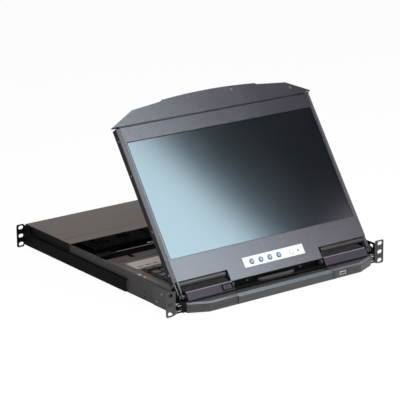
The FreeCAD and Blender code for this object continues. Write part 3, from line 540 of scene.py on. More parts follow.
# lamps in the room: name, place, aim, size, power, tint
ROOM_LAMPS = (
    ("side_box", (-0.85, -0.70, 0.62), (-0.1, 0.05, 0.0), (0.60, 0.50), "fill_light",
     (1.0, 0.95, 0.93)),
    ("top_box", (0.38, 0.20, 1.6), (0.38, 0.20, 0.0), (1.5, 1.2), "top_light",
     (0.93, 0.97, 1.0)),
    ("front_box", (-0.28, -0.88, 1.30), (-0.2, 0.1, 0.1), (0.55, 0.45), "front_light",
     (0.86, 0.95, 1.0)),
)
WHITE = (1.0, 1.0, 1.0)
FLOOR_REACH = 12.0
FLOOR_GLOW = 0.96
BACKDROP_TOP = 0.36
STUDIO_DIM = 0.04


class CONSOLE_OT_stage(bpy.types.Operator):
    """Floor, lamps and camera"""
    bl_idname = "console.stage"
    bl_label = "Stage"

    def execute(self, context):
        setting = context.scene.console_stage
        self.floor(setting)
        for name, (across, up), size, source, tint in MIRRORED_LAMPS:
            self.mirrored(setting, name, across, up, size, getattr(setting, source), tint)
        for name, place, aim, size, source, tint in ROOM_LAMPS:
            self.lamp(name, Vector(place), Vector(aim), size, getattr(setting, source), tint)
        self.world(context.scene)
        self.camera(context.scene, setting)
        context.scene.view_settings.view_transform = "Standard"
        return {"FINISHED"}

    def floor(self, setting):
        """Paper that looks white to the camera and in mirrors, and takes the shadow."""
        finish = Finish("floor_paper", base_color=setting.floor, roughness=0.9)
        seen = finish.node("LightPath", output="Is Camera Ray")
        reflected = (finish.node("LightPath", output="Is Glossy Ray")
                     + finish.node("LightPath", output="Is Transmission Ray"))
        glow = finish.node("Emission", color=WHITE)
        finish.show(finish.node("MixShader", places={0: (seen + reflected) * FLOOR_GLOW,
                                                     1: finish.surface, 2: glow}))
        shape = bmesh.new()
        corners = ring(shape, [(x * FLOOR_REACH, y * FLOOR_REACH, cad_low.z)
                               for x, y in ((-1, -1), (1, -1), (1, 1), (-1, 1))])
        shape.faces.new(corners)
        mesh = bpy.data.meshes.new("floor")
        shape.to_mesh(mesh)
        shape.free()
        mesh.materials.append(finish.material)
        floor = bpy.data.objects.new("floor", mesh)
        bpy.context.scene.collection.objects.link(floor)

    def mirrored(self, setting, name, across, up, size, power, tint):
        """Lamp on the plane that the middle of the screen reflects towards the camera."""
        middle = centre(*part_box("screen_glass"))
        sight = (middle - Vector(setting.place)).normalized()
        bounce = sight - 2 * sight.dot(screen_out) * screen_out
        side = Vector((-bounce.y, bounce.x, 0.0)).normalized()
        place = middle + bounce * setting.reach + side * across + bounce.cross(side) * up
        self.lamp(name, place, place - bounce, size, power, tint)

    def lamp(self, name, place, aim, size, power, tint):
        """Rectangular lamp that the camera doesn't see."""
        data = bpy.data.lights.new(name, "AREA")
        data.shape = "RECTANGLE"
        data.size, data.size_y = size
        data.energy = power
        data.color = tint
        thing = bpy.data.objects.new(name, data)
        thing.location = place
        thing.rotation_euler = (aim - place).to_track_quat("-Z", "Y").to_euler()
        thing.visible_camera = False
        bpy.context.scene.collection.objects.link(thing)

    def world(self, scene):
        """White to the camera and in mirrors near the floor, and dim elsewhere."""
        world = bpy.data.worlds.new("studio")
        graph = Graph(world, "World")
        seen = graph.node("LightPath", output="Is Camera Ray")
        reflected = (graph.node("LightPath", output="Is Glossy Ray")
                     + graph.node("LightPath", output="Is Transmission Ray"))
        height = graph.node("SeparateXYZ", output="Z",
                            vector=graph.node("TexCoord", output="Generated"))
        white = seen.math("MAXIMUM", seen, reflected * (height < BACKDROP_TOP))
        level = white * (1.0 - STUDIO_DIM) + STUDIO_DIM
        graph.show(graph.node("Background", color=WHITE, strength=level))
        scene.world = world

    def camera(self, scene, setting):
        """Camera at its place, turned to its aim."""
        data = bpy.data.cameras.new("camera")
        data.lens = setting.lens
        data.sensor_width = 36.0
        data.clip_end = 100.0
        thing = bpy.data.objects.new("camera", data)
        place = Vector(setting.place)
        aim = Vector(setting.aim) - place
        turn = aim.to_track_quat("-Z", "Y").to_matrix() @ Matrix.Rotation(setting.roll, 3, "Z")
        thing.matrix_world = Matrix.Translation(place) @ turn.to_4x4()
        scene.collection.objects.link(thing)
        scene.camera = thing


LEG_DEPTH = 0.0013
WALL_SKIN = 0.0004
SKIRT_SKIN = 0.0006


class CONSOLE_OT_case(bpy.types.Operator):
    """Chassis, ears, brackets and top cover"""
    bl_idname = "console.case"
    bl_label = "Case"

    def execute(self, context):
        look = context.scene.console_case
        black = coated("black_powder_coat", look.black, 0.45, 1500.0, 0.00006,
                       specular_ior_level=0.012)
        dress("rear_panel", black)
        dress("chassis_tray", self.walls(look))
        for node in ("rear_bracket_left", "rear_bracket_right"):
            dress(node, black, look.edge)
        ears = coated("ear_powder_coat", look.ear, 0.42, 1500.0, 0.00006,
                      specular_ior_level=0.12)
        ears.overlay(ears.axis("X").size() < right_ear()[0].x + LEG_DEPTH, look.wall)
        dress("front_ears", ears, look.edge)
        dress("top_cover", self.cover(look), look.edge)
        return {"FINISHED"}

    def walls(self, look):
        """Grey coat on the outer faces; inward of them near black, as painted shade."""
        finish = coated("wall_coat", look.wall, 0.45, 1500.0, 0.00006, specular_ior_level=0.02)
        # painted shade: near black inward of the walls' outer faces
        finish.overlay(finish.axis("X").size() < right_ear()[0].x - WALL_SKIN, look.black)
        return finish

    def cover(self, look):
        """Grey on top, black coat on the skirts that hang outside the walls; the top's grey is
        partly paint and partly painted sheen of the black coat.
        """
        finish = coated("cover_paint", look.cover, 0.42, 1300.0, 0.00005, 0.06,
                        specular_ior_level=0.02)
        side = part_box("top_cover")[1].x
        finish.overlay(finish.axis("X").size() > side - SKIRT_SKIN, look.black)
        return finish


LINK_DEPTH = 0.0046
LINK_END = 0.009
TONGUE_HALF = 0.0049
TONGUE_LONG = 0.0100
TONGUE_RECESS = 0.0009
USB_CONTACTS = 4
USB_PITCH = 0.0023
VIDEO_HALF_TALL = 0.0032
VIDEO_HALF_TOP = 0.0073
VIDEO_HALF_FOOT = 0.0060
VIDEO_DEEP = 0.0026
PIN_PITCH = 0.00229
PIN_ROW_PITCH = 0.00198
PIN_ROW_SHIFT = 0.00057
PIN_RADIUS = 0.00045
NETWORK_CONTACTS = 8
NETWORK_PITCH = 0.00102
JACK_HOLE = 0.0019
JACK_RIM = 0.00345
JACKS = (("pink", (0.60, 0.13, 0.22)), ("green", (0.10, 0.42, 0.10)))
# the inlet's blades: steps across and up from its middle
BLADES = ((-0.006, -0.0013), (0.0, 0.0017), (0.006, -0.0013))
BLADE_HALF = (0.0011, 0.0036)


class CONSOLE_OT_sockets(bpy.types.Operator):
    """Sockets of the back wall and what lies inside the case"""
    bl_idname = "console.sockets"
    bl_label = "Sockets and boards"

    def execute(self, context):
        plastic = coated("socket_plastic", (0.020, 0.020, 0.021), 0.45)
        metal = plated("tinned_shell", (0.86, 0.82, 0.75), 0.24)
        board = coated("solder_mask", (0.008, 0.010, 0.009), 0.30, 600.0)
        gold = plated("contact_gold", (0.85, 0.62, 0.25), 0.25)
        brown = coated("tongue_plastic", (0.46, 0.28, 0.17), 0.35, 900.0)
        dark = coated("pin_hole", (0.004, 0.004, 0.004), 0.6)
        dress("power_inlet", plastic)
        dress("power_rocker", plastic, 0.0003)
        dress("video_ports", metal)
        dress("data_ports", metal)
        dress("main_board", board)
        dress("power_supply", plated("supply_case", (0.55, 0.55, 0.54), 0.35))
        dress("lead_guide", self.guide())
        dress("front_usb", metal)
        self.front_socket(brown, gold)
        self.video_faces(dark)
        self.data_contacts(gold)
        self.inlet_blades(metal)
        return {"FINISHED"}

    def guide(self):
        """Glossy black arm; its thin second link is bare metal."""
        finish = coated("guide_gloss", (0.012, 0.012, 0.012), 0.16, 900.0)
        high = loose_boxes("lead_guide")[1][1]
        thin = (finish.axis("Y") > high.y - LINK_DEPTH) * (finish.axis("Z") > high.z - LINK_DEPTH)
        thin = thin * (finish.axis("X") < high.x - LINK_END)
        finish.overlay(thin, (0.24, 0.19, 0.14))
        finish.feed(metallic=thin)
        return finish

    def front_socket(self, brown, gold):
        """Tongue and contacts of the socket in the handle."""
        low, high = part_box("front_usb")
        x, _, z = centre(low, high)
        front = low.y + TONGUE_RECESS
        shape = bmesh.new()
        slab(shape, (x - TONGUE_HALF, front, z + 0.0003),
             (x + TONGUE_HALF, front + TONGUE_LONG, z + 0.0017), 0.0002)
        piece("usb_tongue", shape, "drawer", brown)
        shape = bmesh.new()
        for k in range(USB_CONTACTS):
            across = x + USB_PITCH * (k - (USB_CONTACTS - 1) / 2)
            slab(shape, (across - 0.0005, front + 0.0006, z + 0.00018),
                 (across + 0.0005, front + 0.0085, z + 0.00034), 0.0001)
        piece("usb_contacts", shape, "drawer", gold)

    def video_faces(self, dark):
        """Blue faces with three rows of pin holes, inside the video plugs' shells."""
        blue = coated("video_blue", (0.010, 0.045, 0.30), 0.38, 900.0)
        faces = bmesh.new()
        holes = bmesh.new()
        for low, high in loose_boxes("video_ports"):
            x, _, z = centre(low, high)
            top = z + VIDEO_HALF_TALL
            foot = z - VIDEO_HALF_TALL
            outline = ((x + VIDEO_HALF_TOP, top), (x + VIDEO_HALF_FOOT, foot),
                       (x - VIDEO_HALF_FOOT, foot), (x - VIDEO_HALF_TOP, top))
            solid(faces, [[on_back((a, b, out)) for a, b in outline] for out in (0.0, VIDEO_DEEP)])
            for row in (-1, 0, 1):
                for k in range(5):
                    across = x + PIN_PITCH * (k - 2) + PIN_ROW_SHIFT * row
                    hole = on_back((across, z + PIN_ROW_PITCH * row, VIDEO_DEEP - 0.0001))
                    turned(holes, hole, REARWARD, [(PIN_RADIUS, 0.0), (PIN_RADIUS, 0.00014)], 10)
        piece("video_faces", faces, "chassis", blue)
        piece("video_holes", holes, "chassis", dark)

    def data_contacts(self, gold):
        """Contacts of the network and data ports, and the jacks' coloured rims."""
        network, *jacks_and_data = loose_boxes("data_ports")
        low, high = network
        x = centre(low, high).x
        shape = bmesh.new()
        for k in range(NETWORK_CONTACTS):
            across = x + NETWORK_PITCH * (k - (NETWORK_CONTACTS - 1) / 2)
            slab(shape, (across - 0.0002, back_wall - 0.009, low.z + 0.0020),
                 (across + 0.0002, back_wall - 0.001, low.z + 0.0026), 0.0001)
        for low, high in jacks_and_data[2:]:
            x, _, z = centre(low, high)
            for side in (-1, 1):
                for k in (-1, 1):
                    across = x + 0.0014 * k
                    up = z + 0.0017 * side
                    slab(shape, (across - 0.0006, back_wall - 0.006, up - 0.00012),
                         (across + 0.0006, back_wall - 0.0004, up + 0.00012), 0.00005)
        piece("data_contacts", shape, "chassis", gold)
        for (low, high), (name, tint) in zip(jacks_and_data, JACKS):
            x, _, z = centre(low, high)
            shape = bmesh.new()
            hoop(shape, Vector((x, high.y, z)), REARWARD, JACK_HOLE, JACK_RIM, -0.0016, 0.0001)
            piece("jack_rim_" + name, shape, "chassis", coated("jack_" + name, tint, 0.35, 900.0))

    def inlet_blades(self, metal):
        """Bright sleeves of the inlet's three blades."""
        x, _, z = centre(*loose_boxes("power_inlet")[1])
        half_wide, half_tall = BLADE_HALF
        shape = bmesh.new()
        for across, up in BLADES:
            slab(shape, (x + across - half_wide, z + up - half_tall, -0.016),
                 (x + across + half_wide, z + up + half_tall, -0.0029), 0.0003, on_back)
        piece("inlet_blades", shape, "chassis", metal)


class CONSOLE_OT_slides(bpy.types.Operator):
    """Telescopic slides and the screen's rails"""
    bl_idname = "console.slides"
    bl_label = "Slides"

    def execute(self, context):
        look = context.scene.console_case
        zinc = plated("zinc_plate", look.zinc)
        black = coated("rail_coat", look.black, 0.40)
        for node in ("slide_outers", "slide_middles", "slide_inners"):
            dress(node, zinc)
        dress("carriage_rails", black)
        return {"FINISHED"}


FACE_SKIN = 0.0016
# height up the blocks' face where the painted highlight begins
RIM_HIGHLIGHT_START = 0.0038
WELL_SPARE = (0.0035, 0.0015)


class CONSOLE_OT_hinge(bpy.types.Operator):
    """Carriage, hinge blocks, bars, pins and catches"""
    bl_idname = "console.hinge"
    bl_label = "Hinge"

    def execute(self, context):
        look = context.scene.console_drawer
        case = context.scene.console_case
        block = self.block(look)
        dress("screen_carriage", coated("carriage_coat", shade(case.black, 0.6), 0.45,
                                        specular_ior_level=0.15))
        for side in ("left", "right"):
            dress("hinge_block_" + side, block, 0.0006)
        dress("tilt_catch", coated("catch_plastic", (0.030, 0.034, 0.040), 0.30,
                                   specular_ior_level=0.12), 0.0003)
        dress("hinge_bars", coated("bar_coat", (0.024, 0.020, 0.018), 0.34))
        steel = coated("arm_coat", (0.030, 0.030, 0.032), 0.25)
        dress("hinge_pins", steel)
        dress("hinge_arms", steel, 0.0004)
        dress("slide_catch", coated("slide_catch_plastic", (0.048, 0.041, 0.048), 0.42), 0.0003)
        self.catch_well()
        return {"FINISHED"}

    def block(self, look):
        """Grey face, a paler band along its top edge that is a painted highlight, and a black
        shelf and back that are painted shade.
        """
        finish = coated("block_plastic", look.block, 0.42, 1600.0, 0.00004,
                        specular_ior_level=0.12)
        face = screen_box("hinge_block_right")[1].z
        rear, height = finish.axis("Y"), finish.axis("Z")
        up = rear * screen_up.y + height * screen_up.z - pivot.dot(screen_up)
        out = rear * screen_out.y + height * screen_out.z - pivot.dot(screen_out)
        front = out > face - FACE_SKIN
        # painted highlight: a paler band along the top of the front face
        finish.overlay(front * (up > RIM_HIGHLIGHT_START), look.rim_highlight)
        # painted shade: all of the block but its front face is coloured near black
        finish.overlay(1 - front, (0.008, 0.007, 0.008))
        return finish

    def catch_well(self):
        """Dark floor of the pocket that the tilt catch runs in, as painted shade of the recess."""
        low, high = screen_box("tilt_catch")
        wide, tall = WELL_SPARE
        shape = bmesh.new()
        slab(shape, (low.x - wide, low.y - tall, low.z - 0.00018),
             (high.x + wide, high.y + tall, low.z - 0.00010), 0.0003, on_screen)
        piece("catch_well", shape, "carriage",
              coated("well_black", (0.004, 0.004, 0.004), 0.5, specular_ior_level=0.05))


MENU_BUTTONS = ["menu_button_%d" % number for number in range(1, 5)]
# lean past which a button's dome is painted as shade
BUTTON_FLANK_SHADE = 0.957
# dome of a button: share of its radius, depth under its top
DOME = ((1.0, 0.0010), (0.95, 0.0006), (0.82, 0.00028), (0.55, 0.00009), (0.2, 0.0))
RING_GAP = 0.00005
RING_WIDE = 0.00062
POWER_RING_WIDE = 0.00050
LENS_STEP = 0.0106
LENS = ((0.0019, -0.0003), (0.0019, 0.0001), (0.0014, 0.0003), (0.0002, 0.0004))
# width of the painted shade strips round the glass
GLASS_SHADE_WIDE = 0.0010
SIDE_SCREWS = (0.042, 0.122, 0.226, 0.290)


class CONSOLE_OT_screen(bpy.types.Operator):
    """Screen, its shell, the arched plate and the button strip"""
    bl_idname = "console.screen"
    bl_label = "Screen"

    def execute(self, context):
        look = context.scene.console_screen
        bezel = coated("bezel_plastic", look.bezel, 0.27, 1800.0, 0.00004, 0.04, ior=1.72)
        shell = coated("shell_plastic", look.shell, 0.45, 1200.0, 0.00008,
                       specular_ior_level=0.06)
        dress("screen_bezel", bezel, look.edge)
        dress("top_plate", bezel, look.edge)
        dress("screen_shell", shell)
        dress("screen_glass", self.glass(look))
        dress("screen_panel", coated("panel_frame", (0.3, 0.3, 0.31), 0.3))
        dress("control_board", coated("board_mask", (0.008, 0.010, 0.009), 0.30, 600.0))
        dress("control_strip", coated("strip_film", look.strip, 0.45, 900.0, 0.00002, 0.015,
                                      specular_ior_level=0.12))
        button = coated("button_plastic", look.button, 0.25, 900.0, 0.00002, 0.05,
                        specular_ior_level=0.12)
        crown = button.facing("Y") * screen_out.y + button.facing("Z") * screen_out.z
        # painted shade: the dome's sloping flanks turn near black, for the shade round each button
        button.overlay(crown < BUTTON_FLANK_SHADE, shade(look.button, 0.10))
        white = coated("power_button_plastic", look.strip, 0.35, 900.0, 0.00002, 0.015,
                       specular_ior_level=0.15)
        for name in MENU_BUTTONS:
            self.dome(name, button)
        self.dome("power_button", white)
        self.rings()
        self.seams()
        return {"FINISHED"}

    def dome(self, node, finish):
        """Domed button in place of the frame's plain stud."""
        foot, r = stud(node)
        low, high = screen_box(node)
        tall = high.z - low.z
        shape = bmesh.new()
        turned(shape, on_screen((foot.x, foot.y, low.z)), screen_out,
               [(r, 0.0)] + [(share * r, tall - under) for share, under in DOME], 32)
        soften(piece(node + "_cap", shape, node, finish, node), 60)

    def rings(self):
        """Dark rings round the buttons as painted shade in their gaps, the power lamp's dark lens,
        the power button's ring.
        """
        top = screen_box("control_strip")[1].z
        shape = bmesh.new()
        for name in MENU_BUTTONS:
            middle, r = stud(name)
            hoop(shape, on_screen((middle.x, middle.y, top)), screen_out,
                 r + RING_GAP, r + RING_WIDE, -0.0002, 0.00016)
        middle, r = stud("power_button")
        edge = screen_box("power_button")[1].x
        turned(shape, on_screen((edge + LENS_STEP, middle.y, top)), screen_out, LENS)
        piece("button_rings", shape, "screen",
              coated("ring_black", (0.030, 0.034, 0.040), 0.5, 900.0, specular_ior_level=0.05))
        shape = bmesh.new()
        hoop(shape, on_screen((middle.x, middle.y, top)), screen_out,
             r + RING_GAP, r + POWER_RING_WIDE, -0.0002, 0.00012)
        piece("power_ring", shape, "screen",
              coated("ring_grey", (0.13, 0.13, 0.14), 0.5, 900.0, specular_ior_level=0.05))

    def seams(self):
        """Black strip in the seam under the arched plate and black strips round the edge of the
        glass, painted shade of the seam and of the recess, and side screws.
        """
        seam = coated("seam_rubber", (0.003, 0.003, 0.003), 0.6, specular_ior_level=0.05)
        # painted shade: black strip in the seam under the arched plate
        low, high = screen_box("screen_bezel")
        shape = bmesh.new()
        slab(shape, (low.x + 0.0004, high.y - 0.0009, high.z - 0.0010),
             (high.x - 0.0004, high.y + 0.0008, high.z + 0.00006), 0.0002, on_screen)
        piece("plate_seam", shape, "screen", seam)
        # painted shade: thin black strips round the glass for the shade along its recess
        low, high = screen_box("screen_glass")
        sides = ((low.x, low.x + GLASS_SHADE_WIDE, low.y, high.y), (high.x - GLASS_SHADE_WIDE, high.x, low.y, high.y),
                 (low.x, high.x, high.y - GLASS_SHADE_WIDE, high.y),
                 (low.x, high.x, low.y, low.y + 0.5 * GLASS_SHADE_WIDE))
        shape = bmesh.new()
        for x0, x1, y0, y1 in sides:
            slab(shape, (x0, y0, high.z - 0.0002), (x1, y1, high.z + 0.00008), 0.0001, on_screen)
        piece("glass_border", shape, "screen", seam)
        high = screen_box("screen_shell")[1]
        shape = bmesh.new()
        for side in (-1, 1):
            for up in SIDE_SCREWS:
                screw(shape, on_screen((side * (high.x - 0.0004), up, high.z - 0.0040)),
                      Vector((side, 0.0, 0.0)), 0.0015, 0.0006)
        piece("shell_screws", shape, "screen", plated("side_screw_zinc", (0.40, 0.40, 0.40), 0.35))

    def glass(self, look):
        """Coated glass over a dark screen, with a very fine sparkle."""
        finish = Finish("screen_glass", ior=1.95, specular_tint=(0.80, 0.96, 1.0))
        haze = finish.noise(6.0, 2.0, 0.5)
        sparkle = finish.noise(2600.0, 1.0, 0.5)
        tint = finish.mixed(haze, shade(look.glass, 0.85), shade(look.glass, 1.15))
        finish.feed(base_color=tint, roughness=0.14 + (haze - 0.5) * 0.03)
        finish.bump(sparkle, 0.000004)
        return finish


PLATE_HEAD = 0.0052
PLATE_INNER = 0.0484
WALL_SCREW_Y = 0.0907
WALL_SCREW_HEIGHTS = (-0.00505, -0.01395)
WALL_SCREW_RADIUS = 0.00215
WALL_SCREW_SUNK = 0.0009
WALL_SCREW_TALL = 0.0013
TOP_HEAD_TALL = 0.0007


class CONSOLE_OT_screws(bpy.types.Operator):
    """Screw heads with a cross recess, in place of plain studs"""
    bl_idname = "console.screws"
    bl_label = "Screws"

    def execute(self, context):
        case = context.scene.console_case
        dim = plated("screw_zinc", shade(case.zinc, 0.45), 0.34)
        grey = coated("screw_grey", (0.090, 0.086, 0.088), 0.34)
        dark = coated("screw_black", (0.003, 0.003, 0.003), 0.34, specular_ior_level=0.15)
        self.heads("chassis_screws", "chassis", dim, dim)
        self.heads("carriage_screws", "carriage", grey, dark)
        self.plate_heads(grey)
        self.wall_screws(dark)
        return {"FINISHED"}

    def plate_heads(self, grey):
        """Two screws at the foot of the arched plate and two higher up, near its middle."""
        low, high = screen_box("plate_screws")
        r = PLATE_HEAD / 2
        shape = bmesh.new()
        for x, y in ((low.x + r, low.y + r), (-PLATE_INNER, high.y - r),
                     (PLATE_INNER, high.y - r), (high.x - r, low.y + r)):
            screw(shape, on_screen((x, y, low.z)), screen_out, r, high.z - low.z)
        piece("plate_heads", shape, "screen", grey, "plate_screws")

    def heads(self, node, body, side_finish, top_finish):
        """Heads of one node, the upward ones and the others as two pieces."""
        sides = bmesh.new()
        tops = bmesh.new()
        for low, high in loose_boxes(node):
            middle = centre(low, high)
            size = high - low
            thin = min(range(3), key=lambda axis: size[axis])
            r = max(size) / 2
            if thin == 0:
                out = math.copysign(1.0, middle.x)
                place = Vector((middle.x - out * size.x / 2, middle.y, middle.z))
                screw(sides, place, Vector((out, 0.0, 0.0)), r, size.x)
            elif thin == 1:
                screw(sides, Vector((middle.x, high.y, middle.z)), FORWARD, r, size.y)
            else:
                tall = min(size.z, TOP_HEAD_TALL)
                place = Vector((middle.x, middle.y, high.z - tall))
                screw(tops, place, UPWARD, size.x / 2, tall)
        piece(node + "_heads", sides, body, side_finish, node)
        piece(node + "_tops", tops, body, top_finish)

    def wall_screws(self, dark):
        """Black screws in the two holes of each side wall."""
        seat = right_ear()[0].x - WALL_SCREW_SUNK
        shape = bmesh.new()
        for side in (-1, 1):
            for z in WALL_SCREW_HEIGHTS:
                screw(shape, Vector((side * seat, WALL_SCREW_Y, z)), Vector((side, 0.0, 0.0)),
                      WALL_SCREW_RADIUS, WALL_SCREW_TALL)
        piece("wall_screws", shape, "chassis", dark)


COLUMN_SPARE = 0.002
WINDOWS = (0.0098, 0.0724)
WINDOW_HALF = 0.0011
WINDOW_MARGIN = 0.0019


class CONSOLE_OT_deck(bpy.types.Operator):
    """Keyboard deck, its light strip, lamps, pad and buttons"""
    bl_idname = "console.deck"
    bl_label = "Deck"

    def execute(self, context):
        case = context.scene.console_case
        look = context.scene.console_drawer
        dress("drawer_deck", coated("deck_paint", case.deck, 0.42, 1300.0, 0.00005, 0.06))
        dress("drawer_tray", coated("tray_coat", case.black, 0.42, specular_ior_level=0.08))
        trim = coated("trim_plastic", (0.46, 0.42, 0.39), 0.35, 900.0, 0.00002, 0.04)
        column = loose_boxes("deck_trim")[0][1].x + COLUMN_SPARE
        trim.overlay(trim.axis("X") < column, shade(case.deck, 1.1))
        dress("deck_trim", trim)
        dress("drawer_lamps", self.lamps(look, column))
        dress("status_button", coated("status_white", (0.72, 0.70, 0.68), 0.22))
        self.windows()
        pad = coated("pad_plastic", (0.042, 0.042, 0.045), 0.40)
        for node in ("touch_pad", "pad_button_left", "pad_button_right"):
            dress(node, pad, 0.0003)
        return {"FINISHED"}

    def lamps(self, look, column):
        """Dark lenses, with the status lamp amber."""
        finish = coated("lamp_lens", (0.010, 0.010, 0.010), 0.18, 500.0, 0.00001, 0.05,
                        emission_strength=0.6)
        lit = finish.axis("X") < column
        finish.overlay(lit, look.amber)
        finish.feed(emission_color=finish.mixed(lit, (0.0, 0.0, 0.0), look.amber))
        return finish

    def windows(self):
        """Dark windows in the status column."""
        low, high = loose_boxes("deck_trim")[0]
        shape = bmesh.new()
        for along in WINDOWS:
            y = low.y + along
            slab(shape, (low.x + WINDOW_MARGIN, y - WINDOW_HALF, high.z - 0.0004),
                 (high.x - WINDOW_MARGIN, y + WINDOW_HALF, high.z - 0.00004), 0.0003)
        piece("status_windows", shape, "drawer",
              coated("window_black", (0.006, 0.006, 0.006), 0.15, 500.0))


KEY_PITCH = 0.019
KEY_GAP = 0.0006
KEY_TALL = 0.0055
# widths of the keys from left to right, in steps of the pitch, row by row from the back
KEY_ROWS = (
    (1,) * 18,
    (1,) * 13 + (2, 1, 1, 1),
    (1.5,) + (1,) * 12 + (1.5, 1, 1, 1),
    (1.75,) + (1,) * 11 + (2.25, 1, 1, 1),
    (2.25,) + (1,) * 10 + (2.75, 1, 1, 1),
    (1.25, 1.25, 1.25, 6.25, 1.25, 1.25, 1.25, 1.25, 1, 1, 1),
)


class CONSOLE_OT_keys(bpy.types.Operator):
    """Dished key caps, row by row"""
    bl_idname = "console.keys"
    bl_label = "Keys"

    def execute(self, context):
        look = context.scene.console_drawer
        finish = coated("key_plastic", look.key, 0.34, 1500.0, 0.00004)
        dress("keyboard_base", finish)
        for index, widths in enumerate(KEY_ROWS):
            node = "key_row_%d" % (index + 1)
            low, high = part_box(node)
            shape = bmesh.new()
            x = low.x - KEY_GAP
            for units in widths:
                wide = units * KEY_PITCH
                self.key(shape, look, x + KEY_GAP, x + wide - KEY_GAP, low.y, high.y,
                         high.z - KEY_TALL, high.z)
                x += wide
            soften(piece("key_caps_%d" % (index + 1), shape, node, finish, node))
        return {"FINISHED"}

    def key(self, shape, look, x0, x1, y0, y1, z0, z1):
        """One cap: sloping skirt, rounded edge, dished top."""
        r = look.key_round
        dish = look.key_dish
        # how far in, how high, corner radius
        steps = ((0.0, z0, r * 0.5), (0.0013, z1 - 0.0009, r), (0.0018, z1 - 0.0002, r),
                 (0.0024, z1, r), (0.0036, z1 - 0.4 * dish, r), (0.0052, z1 - 0.8 * dish, r * 0.7))
        below = None
        for inset, z, radius in steps:
            level = ring(shape, rounded(x0 + inset, x1 - inset, y0 + inset, y1 - inset,
                                        z, radius))
            if below:
                bridge(shape, below, level)
            below = level
        cap(shape, below, ((x0 + x1) / 2, (y0 + y1) / 2, z1 - dish))


# least and greatest upward lean of the bevel's face
BEVEL_LEAN = (0.35, 0.93)
DOT_SLANT = 0.45
DOT_TALL = 0.0009
DOT_FOOT = 0.002
DOT_TOP = 0.0030
SOCKET_SPARE = 0.003
SEAM_PROUD = 0.00006
SEAM_WIDE = 0.00055
SEAM_LAP = 0.00015


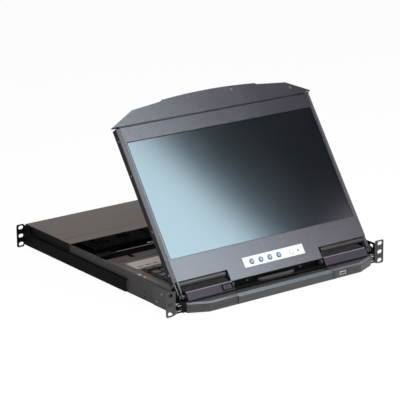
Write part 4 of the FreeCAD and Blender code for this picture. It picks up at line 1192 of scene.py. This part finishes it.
class CONSOLE_OT_handle(bpy.types.Operator):
    """Handle across the drawer's front, with dotted ends"""
    bl_idname = "console.handle"
    bl_label = "Handle"

    def execute(self, context):
        look = context.scene.console_drawer
        middle = coated("handle_plastic", look.handle, 0.27, 1600.0, 0.00004, ior=1.5)
        self.bevel(middle, look)
        dress("handle_centre", middle, 0.0005)
        grip = self.grip(look)
        for side in ("left", "right"):
            dress("handle_grip_" + side, grip, 0.0005)
        self.seams()
        return {"FINISHED"}

    def bevel(self, finish, look):
        """Paler coat on the bevelled top edge: a painted highlight, standing in for the lamps'
        reflection along it.
        """
        up = finish.facing("Z")
        least, most = BEVEL_LEAN
        finish.overlay((up > least) * (up < most) * (finish.facing("Y") < 0.1), look.bevel)

    def grip(self, look):
        """Moulded grey with rows of raised dots on the front of the ends."""
        finish = coated("grip_plastic", look.grip, 0.30, 1600.0, 0.00005, ior=1.45)
        low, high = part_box("handle_grip_right")
        slanted = finish.axis("X").size() + finish.axis("Y") * DOT_SLANT
        across = slanted * (1.0 / look.dot_pitch)
        height = finish.axis("Z") * (1.0 / look.dot_pitch)
        a = across.part() - 0.5
        b = height.part() - 0.5
        gone = a * a + b * b
        reach = (look.dot_radius / look.dot_pitch) ** 2
        side = finish.axis("X")
        past_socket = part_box("front_usb")[1].x + SOCKET_SPARE
        field = side.math("MAXIMUM", side < 0.0, side > past_socket)
        field = field * (finish.axis("Z") > low.z + DOT_FOOT)
        field = field * (finish.axis("Z") < high.z - DOT_TOP) * (finish.facing("Z").size() < 0.3)
        dot = (gone < reach) * field
        # painted shade: the raised dots are coloured darker for the shade of their relief
        finish.overlay(dot, shade(look.grip, 0.15))
        finish.bump((1 - gone * (1.0 / reach)) * dot, DOT_TALL)
        # painted highlight on the grips' bevel, as on the middle of the handle
        self.bevel(finish, look)
        return finish

    def seams(self):
        """Black strips in the joints between the middle of the handle and its ends, as painted
        shade of the gaps.
        """
        low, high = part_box("handle_centre")
        front = low.y - SEAM_PROUD
        top = high.z + SEAM_PROUD
        # front face, bevel, flat top and rear slope, seen from the side
        outline = ((front, low.z), (front, top - 0.0040), (front + 0.0050, top),
                   (front + 0.0069, top), (front + 0.0090, top - 0.0034),
                   (high.y, top - 0.0034), (high.y, low.z))
        shape = bmesh.new()
        for ends in ((low.x - SEAM_WIDE, low.x + SEAM_LAP),
                     (high.x - SEAM_LAP, high.x + SEAM_WIDE)):
            solid(shape, [[(x, y, z) for y, z in outline] for x in ends])
        piece("handle_seams", shape, "drawer",
              coated("seam_black", (0.003, 0.003, 0.003), 0.6, specular_ior_level=0.05))


class VIEW3D_PT_console(bpy.types.Panel):
    """Steps of the console drawer's looks, in order"""
    bl_idname = "VIEW3D_PT_console"
    bl_label = "Rack Console Drawer"
    bl_space_type = "VIEW_3D"
    bl_region_type = "UI"
    bl_category = "Console"

    def draw(self, context):
        layout = self.layout
        for step in STEPS:
            layout.operator(step.bl_idname)
        for name, group in GROUPS.items():
            settings = getattr(context.scene, name)
            box = layout.box()
            box.label(text=group.__doc__.rstrip("."))
            for key in group.__annotations__:
                box.prop(settings, key)


GROUPS = {
    "console_case": CaseFinish,
    "console_screen": ScreenFinish,
    "console_drawer": DrawerFinish,
    "console_stage": StageSetting,
}
STEPS = (
    CONSOLE_OT_stage,
    CONSOLE_OT_case,
    CONSOLE_OT_sockets,
    CONSOLE_OT_slides,
    CONSOLE_OT_hinge,
    CONSOLE_OT_screen,
    CONSOLE_OT_screws,
    CONSOLE_OT_deck,
    CONSOLE_OT_keys,
    CONSOLE_OT_handle,
)


def register():
    for group in GROUPS.values():
        bpy.utils.register_class(group)
    for step in STEPS:
        bpy.utils.register_class(step)
    bpy.utils.register_class(VIEW3D_PT_console)
    for name, group in GROUPS.items():
        setattr(bpy.types.Scene, name, PointerProperty(type=group))


def unregister():
    for name in GROUPS:
        delattr(bpy.types.Scene, name)
    bpy.utils.unregister_class(VIEW3D_PT_console)
    for step in reversed(STEPS):
        bpy.utils.unregister_class(step)
    for group in reversed(list(GROUPS.values())):
        bpy.utils.unregister_class(group)


def build():
    """Run every step in order."""
    register()
    for step in STEPS:
        family, name = step.bl_idname.split(".")
        getattr(getattr(bpy.ops, family), name)()


if __name__ == "__main__":
    build()
